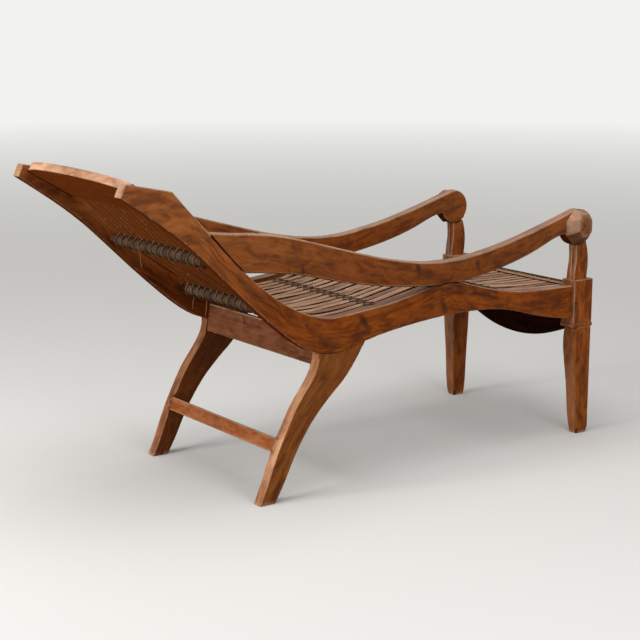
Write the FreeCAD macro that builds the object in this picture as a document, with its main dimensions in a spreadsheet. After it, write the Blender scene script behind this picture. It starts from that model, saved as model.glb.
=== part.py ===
import FreeCAD, Part
import Sketcher
import math
import os

# Planters chair in teak: a long reclining chair with two curved side rails, split slats lashed to
# five cross rods, splayed back legs and long arms that end in scrolls over the front legs.
# Millimetres. X runs across the chair, the sitter's right is at minus X, the foot end is at
# minus Y, Z is up, and the origin is on the floor under the middle of the chair.

V = FreeCAD.Vector

# Every length that can be set by itself, in millimetres, and the angles in degrees
SIZES = {
    "chair_length": 1680,
    "chair_height": 938,
    "frame_width": 614,
    "rail_thickness": 34,
    "arm_thickness": 34,
    "fit_gap": 0.3,
    "overrun": 6,
    # front legs: a square block over a ring and a tapered shaft, with a post up to the arm
    "block_proud": 9,
    "block_thickness": 56,
    "block_depth": 81,
    "block_rise": 17,
    "block_drop": 17,
    "ring_height": 12,
    "ring_proud": 2,
    "ring_round": 3,
    "shaft_round": 6,
    "foot_inset": 4,
    "post_tenon_height": 33,
    "post_tenon_width": 27,
    # arm scroll and the carved boss on its outer face
    "scroll_radius": 56,
    "boss_length": 34,
    "boss_end_width": 54,
    "boss_end_height": 74,
    "boss_end_lift": 7,
    # joints
    "tenon_thickness": 12,
    "rail_tenon_height": 70,
    "rail_tenon_length": 35,
    "leg_mortise_height": 70,
    "housing_depth": 10,
    "peg_diameter": 8,
    "peg_length": 62,
    # back leg cross pieces
    "cross_rail_height": 84,
    "cross_rail_thickness": 22,
    "cross_rail_angle": 7.5,
    "stretcher_height": 40,
    "stretcher_thickness": 20,
    "stretcher_angle": 23,
    # head board
    "head_angle": 31,
    "head_thickness": 24,
    "head_width": 192,
    "groove_depth": 15,
    "groove_inset": 8,
    # slat bed
    "slat_gap": 6.73,
    "slat_thickness": 7,
    "slat_side_gap": 1.5,
    "slat_lead": 12,
    "rod_diameter": 22,
    "rod_seat": 12,
    "string_diameter": 3.4,
    "string_gap": 0.5,
    "tail_diameter": 2,
    # foot end
    "apron_thickness": 20,
    "apron_setback": 5,
    "apron_rise": 8,
    "ledge_depth": 20,
    "ledge_height": 24,
    "batten_thickness": 5,
    "nail_diameter": 2.4,
    "nail_length": 24,
}
SLAT_COUNT = 16
# The batten is nailed down through every third gap between slats
NAIL_FIRST_COUNT = 2
NAIL_STEP_COUNT = 3

# Outline points in side view, as shares of chair_length from its middle and of chair_height
RAIL_TIP_SHARES = [(0.4985, 0.942), (0.489, 0.978), (0.409, 0.948)]
RAIL_TOP_SHARES = [
    (0.409, 0.948), (0.376, 0.881), (0.343, 0.822), (0.310, 0.754), (0.279, 0.700), (0.250, 0.655),
    (0.214, 0.607), (0.174, 0.566), (0.125, 0.537), (0.088, 0.535), (0.043, 0.542), (-0.006, 0.549),
    (-0.054, 0.564), (-0.101, 0.580), (-0.154, 0.588), (-0.193, 0.575), (-0.238, 0.552),
    (-0.286, 0.534), (-0.340, 0.522), (-0.393, 0.520),
]
RAIL_LOW_SHARES = [
    (-0.399, 0.419), (-0.351, 0.439), (-0.304, 0.464), (-0.256, 0.480), (-0.202, 0.486),
    (-0.142, 0.486), (-0.068, 0.476), (-0.010, 0.463), (0.039, 0.448), (0.083, 0.428),
    (0.119, 0.426), (0.152, 0.442), (0.181, 0.472), (0.213, 0.515), (0.264, 0.595), (0.310, 0.672),
    (0.354, 0.748), (0.399, 0.818), (0.448, 0.882), (0.4985, 0.942),
]
RAIL_FRONT_SHARES = (0.518, 0.404)
LEG_TOP_SHARE = 0.469
LEG_REAR_SHARES = [
    (0.135, LEG_TOP_SHARE), (0.135, 0.424), (0.140, 0.389), (0.152, 0.352), (0.168, 0.314), (0.185, 0.272),
    (0.199, 0.226), (0.212, 0.183), (0.223, 0.139), (0.233, 0.096), (0.242, 0.053), (0.256, 0.000),
]
LEG_FRONT_SHARES = [
    (0.225, 0.000), (0.210, 0.043), (0.199, 0.083), (0.189, 0.119), (0.176, 0.160), (0.162, 0.197),
    (0.146, 0.235), (0.126, 0.272), (0.104, 0.309), (0.086, 0.336), (0.068, 0.373), (0.052, 0.412),
    (0.040, 0.448), (0.033, LEG_TOP_SHARE),
]
ARM_TOP_SHARES = [
    (0.366, 0.829), (0.345, 0.826), (0.298, 0.814), (0.249, 0.807), (0.195, 0.789), (0.135, 0.760),
    (0.072, 0.728), (0.007, 0.696), (-0.045, 0.676), (-0.099, 0.661), (-0.161, 0.658),
    (-0.223, 0.671), (-0.288, 0.692), (-0.353, 0.721), (-0.398, 0.743), (-0.432, 0.761), (-0.450, 0.770),
]
ARM_LOW_SHARES = [
    (-0.450, 0.690), (-0.430, 0.697), (-0.401, 0.688), (-0.357, 0.655), (-0.291, 0.621),
    (-0.227, 0.599), (-0.164, 0.584), (-0.102, 0.587), (-0.033, 0.597), (0.039, 0.618),
    (0.104, 0.642), (0.165, 0.671), (0.225, 0.689), (0.279, 0.700), (0.310, 0.704),
]
POST_REAR_SHARES = [(-0.453, 0.530), (-0.454, 0.570), (-0.458, 0.597), (-0.458, 0.624), (-0.456, 0.664)]
POST_FRONT_SHARES = [(-0.482, 0.664), (-0.488, 0.634), (-0.490, 0.597), (-0.489, 0.565), (-0.486, 0.530)]
SLAT_SHARES = [
    (0.375, 0.850), (0.345, 0.797), (0.316, 0.746), (0.277, 0.681), (0.235, 0.628), (0.181, 0.568),
    (0.131, 0.533), (0.077, 0.524), (-0.003, 0.538), (-0.040, 0.548), (-0.077, 0.560),
    (-0.119, 0.574), (-0.154, 0.579), (-0.193, 0.565), (-0.232, 0.544), (-0.271, 0.528),
    (-0.310, 0.517), (-0.363, 0.508), (-0.423, 0.503), (-0.4815, 0.502),
]
# The slat points that have a rod under them
ROD_SHARES = {
    "upper_back": (0.316, 0.746), "lower_back": (0.181, 0.568), "seat": (-0.003, 0.538),
    "hump": (-0.154, 0.579), "front": (-0.310, 0.517),
}
SCROLL_SHARES = (-0.460, 0.714)
HEAD_FOOT_SHARES = (0.4016, 0.872)
CROSS_RAIL_SHARES = (0.1375, 0.389)
STRETCHER_SHARES = (0.221, 0.140)
ARM_PEG_SHARES = (0.316, 0.818)
LEG_TENON_SHARES = (0.054, 0.119)

# Front leg shaft: shares of its height, of block_depth and of block_thickness, from the top down
SHAFT_SHARES = [
    (1.0, 0.81, 0.95), (0.91, 0.87, 0.99), (0.60, 0.81, 0.90), (0.28, 0.72, 0.79), (0.057, 0.63, 0.69),
]
FOOT_SHARES = (0.54, 0.58)

# Apron and head board seen from the front: shares of half their width and of their height
APRON_LOW_SHARES = [
    (-1.0, 0.33), (-0.80, 0.24), (-0.60, 0.14), (-0.36, 0.05), (0.0, 0.0), (0.36, 0.05), (0.60, 0.14),
    (0.80, 0.24), (1.0, 0.33),
]
APRON_HEIGHT_SHARE = 0.217
HEAD_ARCH_SHARES = [
    (1.0, 0.77), (0.93, 0.84), (0.80, 0.90), (0.60, 0.95), (0.30, 0.985), (0.0, 1.0), (-0.30, 0.985),
    (-0.60, 0.95), (-0.80, 0.90), (-0.93, 0.84), (-1.0, 0.77),
]
# Corners of a boss seen from the side, as shares of half its width and of half its height
BOSS_CORNER_SHARES = [
    (0.414, 1.0), (1.0, 0.414), (1.0, -0.414), (0.414, -1.0), (-0.414, -1.0), (-1.0, -0.414),
    (-1.0, 0.414), (-0.414, 1.0),
]
BEND_SHARE = 1 / 6
RUN_SHARE = 0.45
# How many string diameters ahead the gap of a lashing to itself is measured, from and to
GAP_STEP_COUNTS = (4, 48)

# Loose string ends below the back rods, as points along their way down
STRING_TAILS = {
    "upper": [(131, 541.2, 664.9), (129, 539, 652), (132, 537, 640), (134, 535, 629), (131, 534, 618)],
    "lower_long": [(164, 294.7, 506.6), (162, 298, 487), (158, 302, 472), (159, 304, 457), (163, 303, 442)],
    "lower_short": [(196.5, 321.0, 494.9), (199, 325, 481), (197, 325, 472), (193, 329, 462)],
}


class Size:
    """A length and the sheet formula that gives it, so that one sum serves both."""

    def __init__(self, value, formula):
        self.value = value
        self.formula = formula

    def __add__(self, other):
        return Size(self.value + other.value, f"({self.formula} + {other.formula})")

    def __sub__(self, other):
        return Size(self.value - other.value, f"({self.formula} - {other.formula})")

    def __mul__(self, other):
        if isinstance(other, Size):
            return Size(self.value * other.value, f"({self.formula} * {other.formula})")
        return Size(self.value * other, f"({self.formula} * ({other:.6f}))")

    def __truediv__(self, count):
        return Size(self.value / count, f"({self.formula} / {count})")

    def __neg__(self):
        return Size(-self.value, f"(-{self.formula})")


doc = FreeCAD.newDocument("planters_chair")
sheet = doc.addObject("Spreadsheet::Sheet", "Sizes")
for row, (name, value) in enumerate(SIZES.items(), start=1):
    sheet.set(f"A{row}", name)
    sheet.set(f"B{row}", str(value))
    sheet.setAlias(f"B{row}", name)
doc.recompute()

S = {name: Size(value, f"Sizes.{name}") for name, value in SIZES.items()}
ZERO = Size(0, "0")
parts = []


def keep(item, label):
    """Takes an object as a finished piece under its own name."""
    item.Label = label
    parts.append(item)
    return item


def bind(item, **sizes):
    """Ties properties of an object to the sheet; place_x stands for Placement.Base.x."""
    for key, size in sizes.items():
        path = key.replace("place_", "Placement.Base.")
        item.setExpression(path, size.formula)
    return item


def cosine(angle):
    return Size(math.cos(math.radians(angle.value)), f"cos({angle.formula} * 1 deg)")


def sine(angle):
    return Size(math.sin(math.radians(angle.value)), f"sin({angle.formula} * 1 deg)")


def spot(shares):
    """A side view point from its shares of the chair's length and height."""
    return S["chair_length"] * shares[0], S["chair_height"] * shares[1]


def spots(table):
    return [spot(shares) for shares in table]


def lean(points, index):
    """The unit direction of an outline at one of its points."""
    before = points[max(index - 1, 0)]
    after = points[min(index + 1, len(points) - 1)]
    along = after[0].value - before[0].value
    rise = after[1].value - before[1].value
    reach = math.hypot(along, rise)
    return along / reach, rise / reach


def beside(points, index, distance):
    """The point that lies a distance to the left of an outline's direction."""
    along, rise = lean(points, index)
    start = points[index]
    return start[0] - distance * rise, start[1] + distance * along


def bend_poles(points):
    """Poles for a spline through points: it runs inside each pole by a share of the bend there."""
    poles = list(points)
    for i in range(2, len(points) - 2):
        poles[i] = tuple(
            here + (here * 2 - before - after) * BEND_SHARE
            for before, here, after in zip(points[i - 1], points[i], points[i + 1])
        )
    return poles


def pin_point(sketch, geometry, position, point):
    """Fixes one sketch point at two sizes from the sketch's origin."""
    for kind, size in zip(("DistanceX", "DistanceY"), point):
        number = sketch.addConstraint(
            Sketcher.Constraint(kind, -1, 1, geometry, position, size.value))
        sketch.setExpression(f"Constraints[{number}]", size.formula)


def add_run(sketch, points):
    """Draws one run of an outline: a line for two points, else a spline through them."""
    if len(points) == 2:
        ends = [V(p[0].value, p[1].value, 0) for p in points]
        line = sketch.addGeometry(Part.LineSegment(*ends), False)
        pin_point(sketch, line, 1, points[0])
        pin_point(sketch, line, 2, points[1])
        return line
    poles = bend_poles(points)
    where = [V(p[0].value, p[1].value, 0) for p in poles]
    degree = 3
    knots = [float(k) for k in range(len(where) - degree + 1)]
    mults = [degree + 1] + [1] * (len(knots) - 2) + [degree + 1]
    weights = [1.0] * len(where)
    curve = Part.BSplineCurve(where, mults, knots, False, degree, weights, False)
    spline = sketch.addGeometry(curve, False)
    held = []
    for i, pole in enumerate(where):
        ring = sketch.addGeometry(Part.Circle(pole, V(0, 0, 1), S["overrun"].value), True)
        held.append(Sketcher.Constraint(
            "InternalAlignment:Sketcher::BSplineControlPoint", ring, 3, spline, i))
        if i == 0:
            held.append(Sketcher.Constraint("Weight", ring, 1.0))
        else:
            held.append(Sketcher.Constraint("Equal", spline + 1, ring))
    sketch.addConstraint(held)
    for i, pole in enumerate(poles):
        pin_point(sketch, spline + 1 + i, 3, pole)
    return spline


def draw_outline(sketch, runs):
    """Draws runs one after another and closes the gaps between them with straight lines."""
    drawn = [add_run(sketch, run) for run in runs]
    for i, run in enumerate(runs):
        following = (i + 1) % len(runs)
        start = V(run[-1][0].value, run[-1][1].value, 0)
        end = V(runs[following][0][0].value, runs[following][0][1].value, 0)
        if start.distanceToPoint(end) == 0:
            continue
        line = sketch.addGeometry(Part.LineSegment(start, end), False)
        sketch.addConstraint(Sketcher.Constraint("Coincident", drawn[i], 2, line, 1))
        sketch.addConstraint(Sketcher.Constraint("Coincident", line, 2, drawn[following], 1))


def side_sketch(name, runs):
    """A closed outline in side view: sketch X along the chair, sketch Y up."""
    sketch = doc.addObject("Sketcher::SketchObject", name)
    sketch.Placement = FreeCAD.Placement(V(0, 0, 0), FreeCAD.Rotation(V(0, 1, 0), V(0, 0, 1), V(1, 0, 0)))
    draw_outline(sketch, runs)
    return sketch


def plate(name, sketch, start, thickness):
    """A board cut to a side view outline, from X = start inwards or across."""
    board = doc.addObject("Part::Extrusion", name)
    board.Base = sketch
    board.DirMode = "Normal"
    board.Solid = True
    return bind(board, LengthFwd=thickness, place_x=start)


def box(name, start, size, rake=None):
    """A block from a corner and three sizes, turned about X by the rake."""
    block = doc.addObject("Part::Box", name)
    bind(block, Length=size[0], Width=size[1], Height=size[2])
    bind(block, place_x=start[0], place_y=start[1], place_z=start[2])
    if rake:
        block.Placement.Rotation = FreeCAD.Rotation(V(1, 0, 0), rake.value)
        block.setExpression("Placement.Rotation.Angle", rake.formula)
    return block


def cross_bar(name, start, place, radius, length):
    """A round bar across the chair."""
    bar = doc.addObject("Part::Cylinder", name)
    bar.Placement.Rotation = FreeCAD.Rotation(V(0, 1, 0), 90)
    return bind(bar, Radius=radius, Height=length, place_x=start, place_y=place[0], place_z=place[1])


def group(kind, name, items):
    """Several shapes as one: a Part::MultiFuse or a Part::Compound."""
    joined = doc.addObject(kind, name)
    if kind == "Part::MultiFuse":
        joined.Shapes = items
    else:
        joined.Links = items
    return joined


def cut(name, base, tools):
    """A piece scribed to its neighbours, so that the joint fits whatever their shape."""
    tool = tools[0] if len(tools) == 1 else group("Part::Compound", name + "_tools", tools)
    result = doc.addObject("Part::Cut", name)
    result.Base = base
    result.Tool = tool
    return result


def across(side, outer, thickness):
    """Where a board starts in X: its outer face lies at plus or minus outer."""
    return -outer if side == "right" else outer - thickness


SIDES = ("right", "left")
HALF_FRAME = S["frame_width"] / 2
INNER_HALF = HALF_FRAME - S["rail_thickness"]
BLOCK_OUTER = HALF_FRAME + S["block_proud"]
BLOCK_INNER = BLOCK_OUTER - S["block_thickness"]
BLOCK_FRONT = S["chair_length"] / -2 + S["ring_proud"]
BLOCK_REAR = BLOCK_FRONT + S["block_depth"]
APRON_REAR = BLOCK_FRONT + S["apron_setback"] + S["apron_thickness"]
HEAD_COS = cosine(S["head_angle"])
HEAD_SIN = sine(S["head_angle"])
HEAD_FOOT = spot(HEAD_FOOT_SHARES)
RAIL_FRONT_TOP = S["chair_height"] * RAIL_FRONT_SHARES[0]
RAIL_FRONT_LOW = S["chair_height"] * RAIL_FRONT_SHARES[1]
BLOCK_TOP = RAIL_FRONT_TOP + S["block_rise"]
BLOCK_BASE = RAIL_FRONT_LOW - S["block_drop"]
POST_TOP = S["chair_height"] * SCROLL_SHARES[1] - S["scroll_radius"] + S["post_tenon_height"]
SLAT_PITCH = (BLOCK_INNER * 2 - S["slat_side_gap"] * 2 + S["slat_gap"]) / SLAT_COUNT
SLAT_WIDTH = SLAT_PITCH - S["slat_gap"]
SLAT_FIRST = S["slat_side_gap"] - BLOCK_INNER
SLAT_FOOT_TOP = S["chair_height"] * SLAT_SHARES[-1][1]
WHIPPED_RADIUS = S["rod_diameter"] / 2 + S["fit_gap"] + S["string_diameter"]


def on_head(up_slope, out):
    """A side view point on the sloping head board, from its lower rear corner."""
    return (
        HEAD_FOOT[0] + up_slope * HEAD_COS - out * HEAD_SIN,
        HEAD_FOOT[1] + up_slope * HEAD_SIN + out * HEAD_COS,
    )


def slat_runs():
    """Top and underside of a slat: straight in the head board's groove, then curved to the foot."""
    top = S["groove_inset"] + S["slat_thickness"]
    depth = S["groove_depth"] - S["fit_gap"]
    upper = [on_head(ZERO, top), on_head(-S["slat_lead"], top)] + spots(SLAT_SHARES)
    lower = [on_head(ZERO, S["groove_inset"]), on_head(-S["slat_lead"], S["groove_inset"])]
    lower += [beside(upper, i, S["slat_thickness"]) for i in range(2, len(upper) - 1)]
    foot = upper[-1]
    lower.append((foot[0], foot[1] - S["slat_thickness"]))
    head_top = [on_head(depth, top), upper[0]]
    head_low = [lower[0], on_head(depth, S["groove_inset"])]
    return [head_top, upper, lower[::-1], head_low]


def rod_centre(station):
    """Side view centre of a rod, one turn of string below the slats that it carries."""
    points = spots(SLAT_SHARES)
    depth = S["slat_thickness"] + WHIPPED_RADIUS + S["fit_gap"]
    return beside(points, SLAT_SHARES.index(ROD_SHARES[station]), depth)


def make_rods():
    """Round rods across the bed; their ends sit in the side rails."""
    rods = []
    sockets = []
    radius = S["rod_diameter"] / 2
    start = -INNER_HALF - S["rod_seat"]
    for station in ROD_SHARES:
        centre = rod_centre(station)
        rods.append(keep(cross_bar(station + "_bar", start, centre, radius, -start * 2), station + "_rod"))
        reach = start - S["fit_gap"]
        sockets.append(cross_bar(station + "_socket", reach, centre, radius + S["fit_gap"], -reach * 2))
    return rods, group("Part::Compound", "rod_sockets", sockets)


def make_head_board():
    """Sloping board at the top, arched along its upper edge and grooved below for the slats."""
    body = doc.addObject("PartDesign::Body", "head_body")
    reach = INNER_HALF + S["housing_depth"]
    sketch = body.newObject("Sketcher::SketchObject", "head_outline")
    plane = [f for f in body.Origin.OriginFeatures if f.Role == "XY_Plane"][0]
    sketch.AttachmentSupport = [(plane, "")]
    sketch.MapMode = "FlatFace"
    arch = [(reach * across_share, S["head_width"] * up) for across_share, up in HEAD_ARCH_SHARES]
    draw_outline(sketch, [arch, [(-reach, ZERO), (reach, ZERO)]])
    pad = body.newObject("PartDesign::Pad", "head_pad")
    pad.Profile = sketch
    bind(pad, Length=S["head_thickness"])
    slot = body.newObject("PartDesign::SubtractiveBox", "head_groove")
    bind(slot, Length=INNER_HALF * 2, Width=S["groove_depth"] + S["overrun"])
    bind(slot, Height=S["slat_thickness"] + S["fit_gap"] * 2)
    corner = {"x": -INNER_HALF, "y": -S["overrun"], "z": S["groove_inset"] - S["fit_gap"]}
    for axis, size in corner.items():
        slot.setExpression(f"AttachmentOffset.Base.{axis}", size.formula)
    slot.AttachmentSupport = [(plane, "")]
    slot.MapMode = "FlatFace"
    body.Placement.Rotation = FreeCAD.Rotation(V(1, 0, 0), S["head_angle"].value)
    body.setExpression("Placement.Rotation.Angle", S["head_angle"].formula)
    bind(body, place_y=HEAD_FOOT[0], place_z=HEAD_FOOT[1])
    return keep(body, "head_board")


def make_cross_rail():
    """Board between the back leg tops, under the bed."""
    foot = spot(CROSS_RAIL_SHARES)
    reach = INNER_HALF + S["housing_depth"]
    sizes = (reach * 2, S["cross_rail_thickness"], S["cross_rail_height"])
    start = (-reach, foot[0] - S["cross_rail_thickness"], foot[1])
    return keep(box("cross_board", start, sizes, S["cross_rail_angle"]), "back_leg_cross_rail")


def make_stretcher():
    """Lower stretcher between the back legs."""
    foot = spot(STRETCHER_SHARES)
    reach = INNER_HALF + S["housing_depth"]
    sizes = (reach * 2, S["stretcher_thickness"], S["stretcher_height"])
    start = (-reach, foot[0] - S["stretcher_thickness"], foot[1])
    return keep(box("stretcher_board", start, sizes, S["stretcher_angle"]), "back_leg_stretcher")


def make_pegs():
    """Two upright pegs that hold the arms' rear ends on the side rails."""
    pegs = []
    place = spot(ARM_PEG_SHARES)
    for side in SIDES:
        peg = doc.addObject("Part::Cylinder", side + "_peg")
        middle = across(side, HALF_FRAME, S["arm_thickness"]) + S["arm_thickness"] / 2
        bind(peg, Radius=S["peg_diameter"] / 2, Height=S["peg_length"])
        bind(peg, place_x=middle, place_y=place[0], place_z=place[1] - S["peg_length"])
        pegs.append(peg)
    return keep(group("Part::Compound", "peg_pair", pegs), "arm_pegs")


def make_rails(sockets, head_board, cross_rail, pegs):
    """Side rails: sawn boards with a leg mortise below and a tenon into the front leg."""
    top = spots(RAIL_TOP_SHARES) + [(BLOCK_REAR, RAIL_FRONT_TOP)]
    low = [(BLOCK_REAR, RAIL_FRONT_LOW)] + spots(RAIL_LOW_SHARES)
    tip = spots(RAIL_TIP_SHARES)
    tenon_start, tenon_end = (S["chair_length"] * share for share in LEG_TENON_SHARES)
    outline = side_sketch("rail_outline", [tip[:2], tip[1:], top, low])
    middle = (RAIL_FRONT_TOP + RAIL_FRONT_LOW) / 2
    cheek = (S["rail_thickness"] - S["tenon_thickness"]) / 2
    rails = {}
    boards = {}
    for side in SIDES:
        start = across(side, HALF_FRAME, S["rail_thickness"])
        board = plate(side + "_rail_board", outline, start, S["rail_thickness"])
        tenon = box(
            side + "_rail_tenon",
            (start + cheek, BLOCK_REAR - S["rail_tenon_length"], middle - S["rail_tenon_height"] / 2),
            (S["tenon_thickness"], S["rail_tenon_length"] + S["overrun"], S["rail_tenon_height"]))
        blank = group("Part::MultiFuse", side + "_rail_blank", [board, tenon])
        mortise = box(
            side + "_leg_mortise",
            (start + cheek, tenon_start, S["chair_height"] * LEG_TOP_SHARE - S["leg_mortise_height"]),
            (S["tenon_thickness"], tenon_end - tenon_start, S["leg_mortise_height"]))
        tools = [sockets, head_board, cross_rail, pegs, mortise]
        rails[side] = keep(cut(side + "_rail_cut", blank, tools), side + "_side_rail")
        boards[side] = board
    return rails, boards


def make_back_legs(rails, cross_rail, stretcher):
    """Splayed back legs, sawn to a double curve and scribed to the rails above them."""
    rear = spots(LEG_REAR_SHARES)
    front = spots(LEG_FRONT_SHARES)
    outline = side_sketch("back_leg_outline", [rear, front])
    for side in SIDES:
        start = across(side, HALF_FRAME, S["rail_thickness"])
        board = plate(side + "_back_leg_board", outline, start, S["rail_thickness"])
        keep(cut(side + "_back_leg_cut", board, [rails[side], cross_rail, stretcher]), side + "_back_leg")


def make_arms(rail_boards, pegs):
    """Long curved arms with a round scroll at the front and a mortise for the post."""
    outline = side_sketch("arm_outline", [spots(ARM_TOP_SHARES), spots(ARM_LOW_SHARES)])
    centre = spot(SCROLL_SHARES)
    cheek = (S["arm_thickness"] - S["tenon_thickness"]) / 2
    arms = {}
    for side in SIDES:
        start = across(side, HALF_FRAME, S["arm_thickness"])
        board = plate(side + "_arm_board", outline, start, S["arm_thickness"])
        scroll = cross_bar(side + "_scroll", start, centre, S["scroll_radius"], S["arm_thickness"])
        blank = group("Part::MultiFuse", side + "_arm_blank", [board, scroll])
        width = S["post_tenon_width"]
        mortise = box(
            side + "_post_mortise",
            (start + cheek, centre[0] - width / 2, POST_TOP - S["scroll_radius"]),
            (S["tenon_thickness"], width, S["scroll_radius"]))
        arms[side] = keep(cut(side + "_arm_cut", blank, [rail_boards[side], pegs, mortise]), side + "_arm")
    return arms


def eight_sided(middle, half_width, half_height):
    """An upright eight-sided outline across the chair's width, flat at its top and at its sides."""
    corners = [middle + V(0, half_width * a, half_height * b) for a, b in BOSS_CORNER_SHARES]
    return Part.makePolygon(corners + corners[:1])


def make_bosses():
    """Carved bosses on the outer faces of the scrolls, eight-sided and smaller at the end."""
    centre_y, centre_z = (size.value for size in spot(SCROLL_SHARES))
    radius = S["scroll_radius"].value
    for side, sign in (("right", -1), ("left", 1)):
        middle = V(sign * HALF_FRAME.value, centre_y, centre_z)
        base = eight_sided(middle, radius, radius)
        end_middle = middle + V(sign * S["boss_length"].value, 0, S["boss_end_lift"].value)
        end = eight_sided(end_middle, S["boss_end_width"].value / 2, S["boss_end_height"].value / 2)
        boss = doc.addObject("Part::Feature", side + "_boss")
        boss.Shape = Part.makeLoft([base, end], True, True)
        keep(boss, side + "_arm_boss")


def rounded_section(left, right, front, rear, level, radius):
    """A level rectangle with rounded corners, as a wire."""
    corners = [(right, rear), (left, rear), (left, front), (right, front)]
    quarter = math.pi / 2
    arcs = []
    for number, (x, y) in enumerate(corners):
        inward_x = -radius if x == right else radius
        inward_y = -radius if y == rear else radius
        circle = Part.Circle(V(x + inward_x, y + inward_y, level), V(0, 0, 1), radius)
        arcs.append(Part.Arc(circle, quarter * number, quarter * (number + 1)).toShape())
    edges = []
    for i, arc in enumerate(arcs):
        after = arcs[(i + 1) % len(arcs)]
        edges.append(arc)
        edges.append(Part.LineSegment(arc.lastVertex().Point, after.firstVertex().Point).toShape())
    return Part.Wire(edges)


def leg_shaft(side):
    """Tapered shaft: its front and outer faces stay upright, the other two draw in."""
    sign = -1 if side == "right" else 1
    outer = BLOCK_OUTER.value
    front = BLOCK_FRONT.value
    height = BLOCK_BASE.value - S["ring_height"].value
    depth = S["block_depth"].value
    width = S["block_thickness"].value
    radius = S["shaft_round"].value

    def section(level, depth_share, width_share, inset):
        x_out = sign * (outer - inset)
        x_in = sign * (outer - inset - width * width_share)
        y_front = front + inset
        y_rear = y_front + depth * depth_share
        return rounded_section(min(x_out, x_in), max(x_out, x_in), y_front, y_rear, level, radius)

    shaft = [section(height * up, deep, wide, 0) for up, deep, wide in SHAFT_SHARES]
    lowest = SHAFT_SHARES[-1]
    foot_top = section(height * lowest[0], lowest[1], lowest[2], 0)
    foot = section(0, FOOT_SHARES[0], FOOT_SHARES[1], S["foot_inset"].value)
    solid = Part.makeLoft(shaft, True, False).fuse(Part.makeLoft([foot_top, foot], True, True))
    leg = doc.addObject("Part::Feature", side + "_shaft")
    leg.Shape = solid
    return leg


def make_front_legs(rails, arms, apron):
    """Front legs in one piece: shaft, ring, block and the post that rises into the scroll."""
    rear = spots(POST_REAR_SHARES)
    front = spots(POST_FRONT_SHARES)
    rear[0] = (rear[0][0], BLOCK_TOP - S["overrun"])
    front[-1] = (front[-1][0], BLOCK_TOP - S["overrun"])
    outline = side_sketch("post_outline", [rear, front])
    centre = spot(SCROLL_SHARES)
    cheek = (S["arm_thickness"] - S["tenon_thickness"]) / 2
    width = S["post_tenon_width"] - S["fit_gap"] * 2
    for side in SIDES:
        start = across(side, BLOCK_OUTER, S["block_thickness"])
        block = box(
            side + "_block", (start, BLOCK_FRONT, BLOCK_BASE),
            (S["block_thickness"], S["block_depth"], BLOCK_TOP - BLOCK_BASE))
        ring = box(
            side + "_ring_blank",
            (start - S["ring_proud"], BLOCK_FRONT - S["ring_proud"], BLOCK_BASE - S["ring_height"]),
            (S["block_thickness"] + S["ring_proud"] * 2, S["block_depth"] + S["ring_proud"] * 2,
             S["ring_height"]))
        doc.recompute()
        bead = doc.addObject("Part::Fillet", side + "_ring")
        bead.Base = ring
        radius = S["ring_round"].value
        bead.Edges = [(number + 1, radius, radius) for number in range(len(ring.Shape.Edges))]
        post_start = across(side, HALF_FRAME, S["arm_thickness"])
        post = plate(side + "_post", outline, post_start, S["arm_thickness"])
        tenon = box(
            side + "_post_tenon",
            (post_start + cheek + S["fit_gap"], centre[0] - width / 2, BLOCK_TOP),
            (S["tenon_thickness"] - S["fit_gap"] * 2, width,
             POST_TOP - S["fit_gap"] - BLOCK_TOP))
        blank = group("Part::MultiFuse", side + "_front_leg_blank", [leg_shaft(side), bead, block, post, tenon])
        tools = [rails[side], arms[side], apron]
        keep(cut(side + "_front_leg_cut", blank, tools), side + "_front_leg")


def make_apron():
    """Shaped board between the front legs, tenoned into their blocks."""
    body = doc.addObject("PartDesign::Body", "apron_body")
    sketch = body.newObject("Sketcher::SketchObject", "apron_outline")
    plane = [f for f in body.Origin.OriginFeatures if f.Role == "XZ_Plane"][0]
    sketch.AttachmentSupport = [(plane, "")]
    sketch.MapMode = "FlatFace"
    height = S["chair_height"] * APRON_HEIGHT_SHARE
    top = SLAT_FOOT_TOP + S["apron_rise"]
    foot = top - height
    reach = BLOCK_INNER + S["housing_depth"]
    low = [(reach * out, foot + height * up) for out, up in APRON_LOW_SHARES]
    draw_outline(sketch, [low, [(reach, top), (-reach, top)]])
    pad = body.newObject("PartDesign::Pad", "apron_pad")
    pad.Profile = sketch
    bind(pad, Length=S["apron_thickness"])
    bind(body, place_y=APRON_REAR)
    return keep(body, "front_apron")


def make_slat_supports():
    """Ledge under the slat ends behind the apron, and the batten nailed down over them."""
    start = -BLOCK_INNER + S["fit_gap"]
    length = -start * 2
    top = SLAT_FOOT_TOP + S["fit_gap"]
    ledge_top = top - S["slat_thickness"] - S["fit_gap"] * 2
    ledge = box(
        "ledge_strip", (start, APRON_REAR, ledge_top - S["ledge_height"]),
        (length, S["ledge_depth"], S["ledge_height"]))
    strip = box("batten_strip", (start, APRON_REAR, top), (length, S["ledge_depth"], S["batten_thickness"]))
    nails = []
    for number in range(NAIL_FIRST_COUNT, SLAT_COUNT, NAIL_STEP_COUNT):
        nail = doc.addObject("Part::Cylinder", f"nail_{number}")
        bind(nail, Radius=S["nail_diameter"] / 2, Height=S["nail_length"])
        bind(nail, place_x=SLAT_FIRST + SLAT_PITCH * number - S["slat_gap"] / 2)
        bind(nail, place_y=APRON_REAR + S["ledge_depth"] / 2)
        bind(nail, place_z=top + S["batten_thickness"] - S["nail_length"])
        nails.append(nail)
    nail_row = keep(group("Part::Compound", "nail_row", nails), "batten_nails")
    keep(cut("ledge_cut", ledge, [nail_row]), "slat_ledge")
    keep(cut("batten_cut", strip, [nail_row]), "slat_batten")


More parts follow.
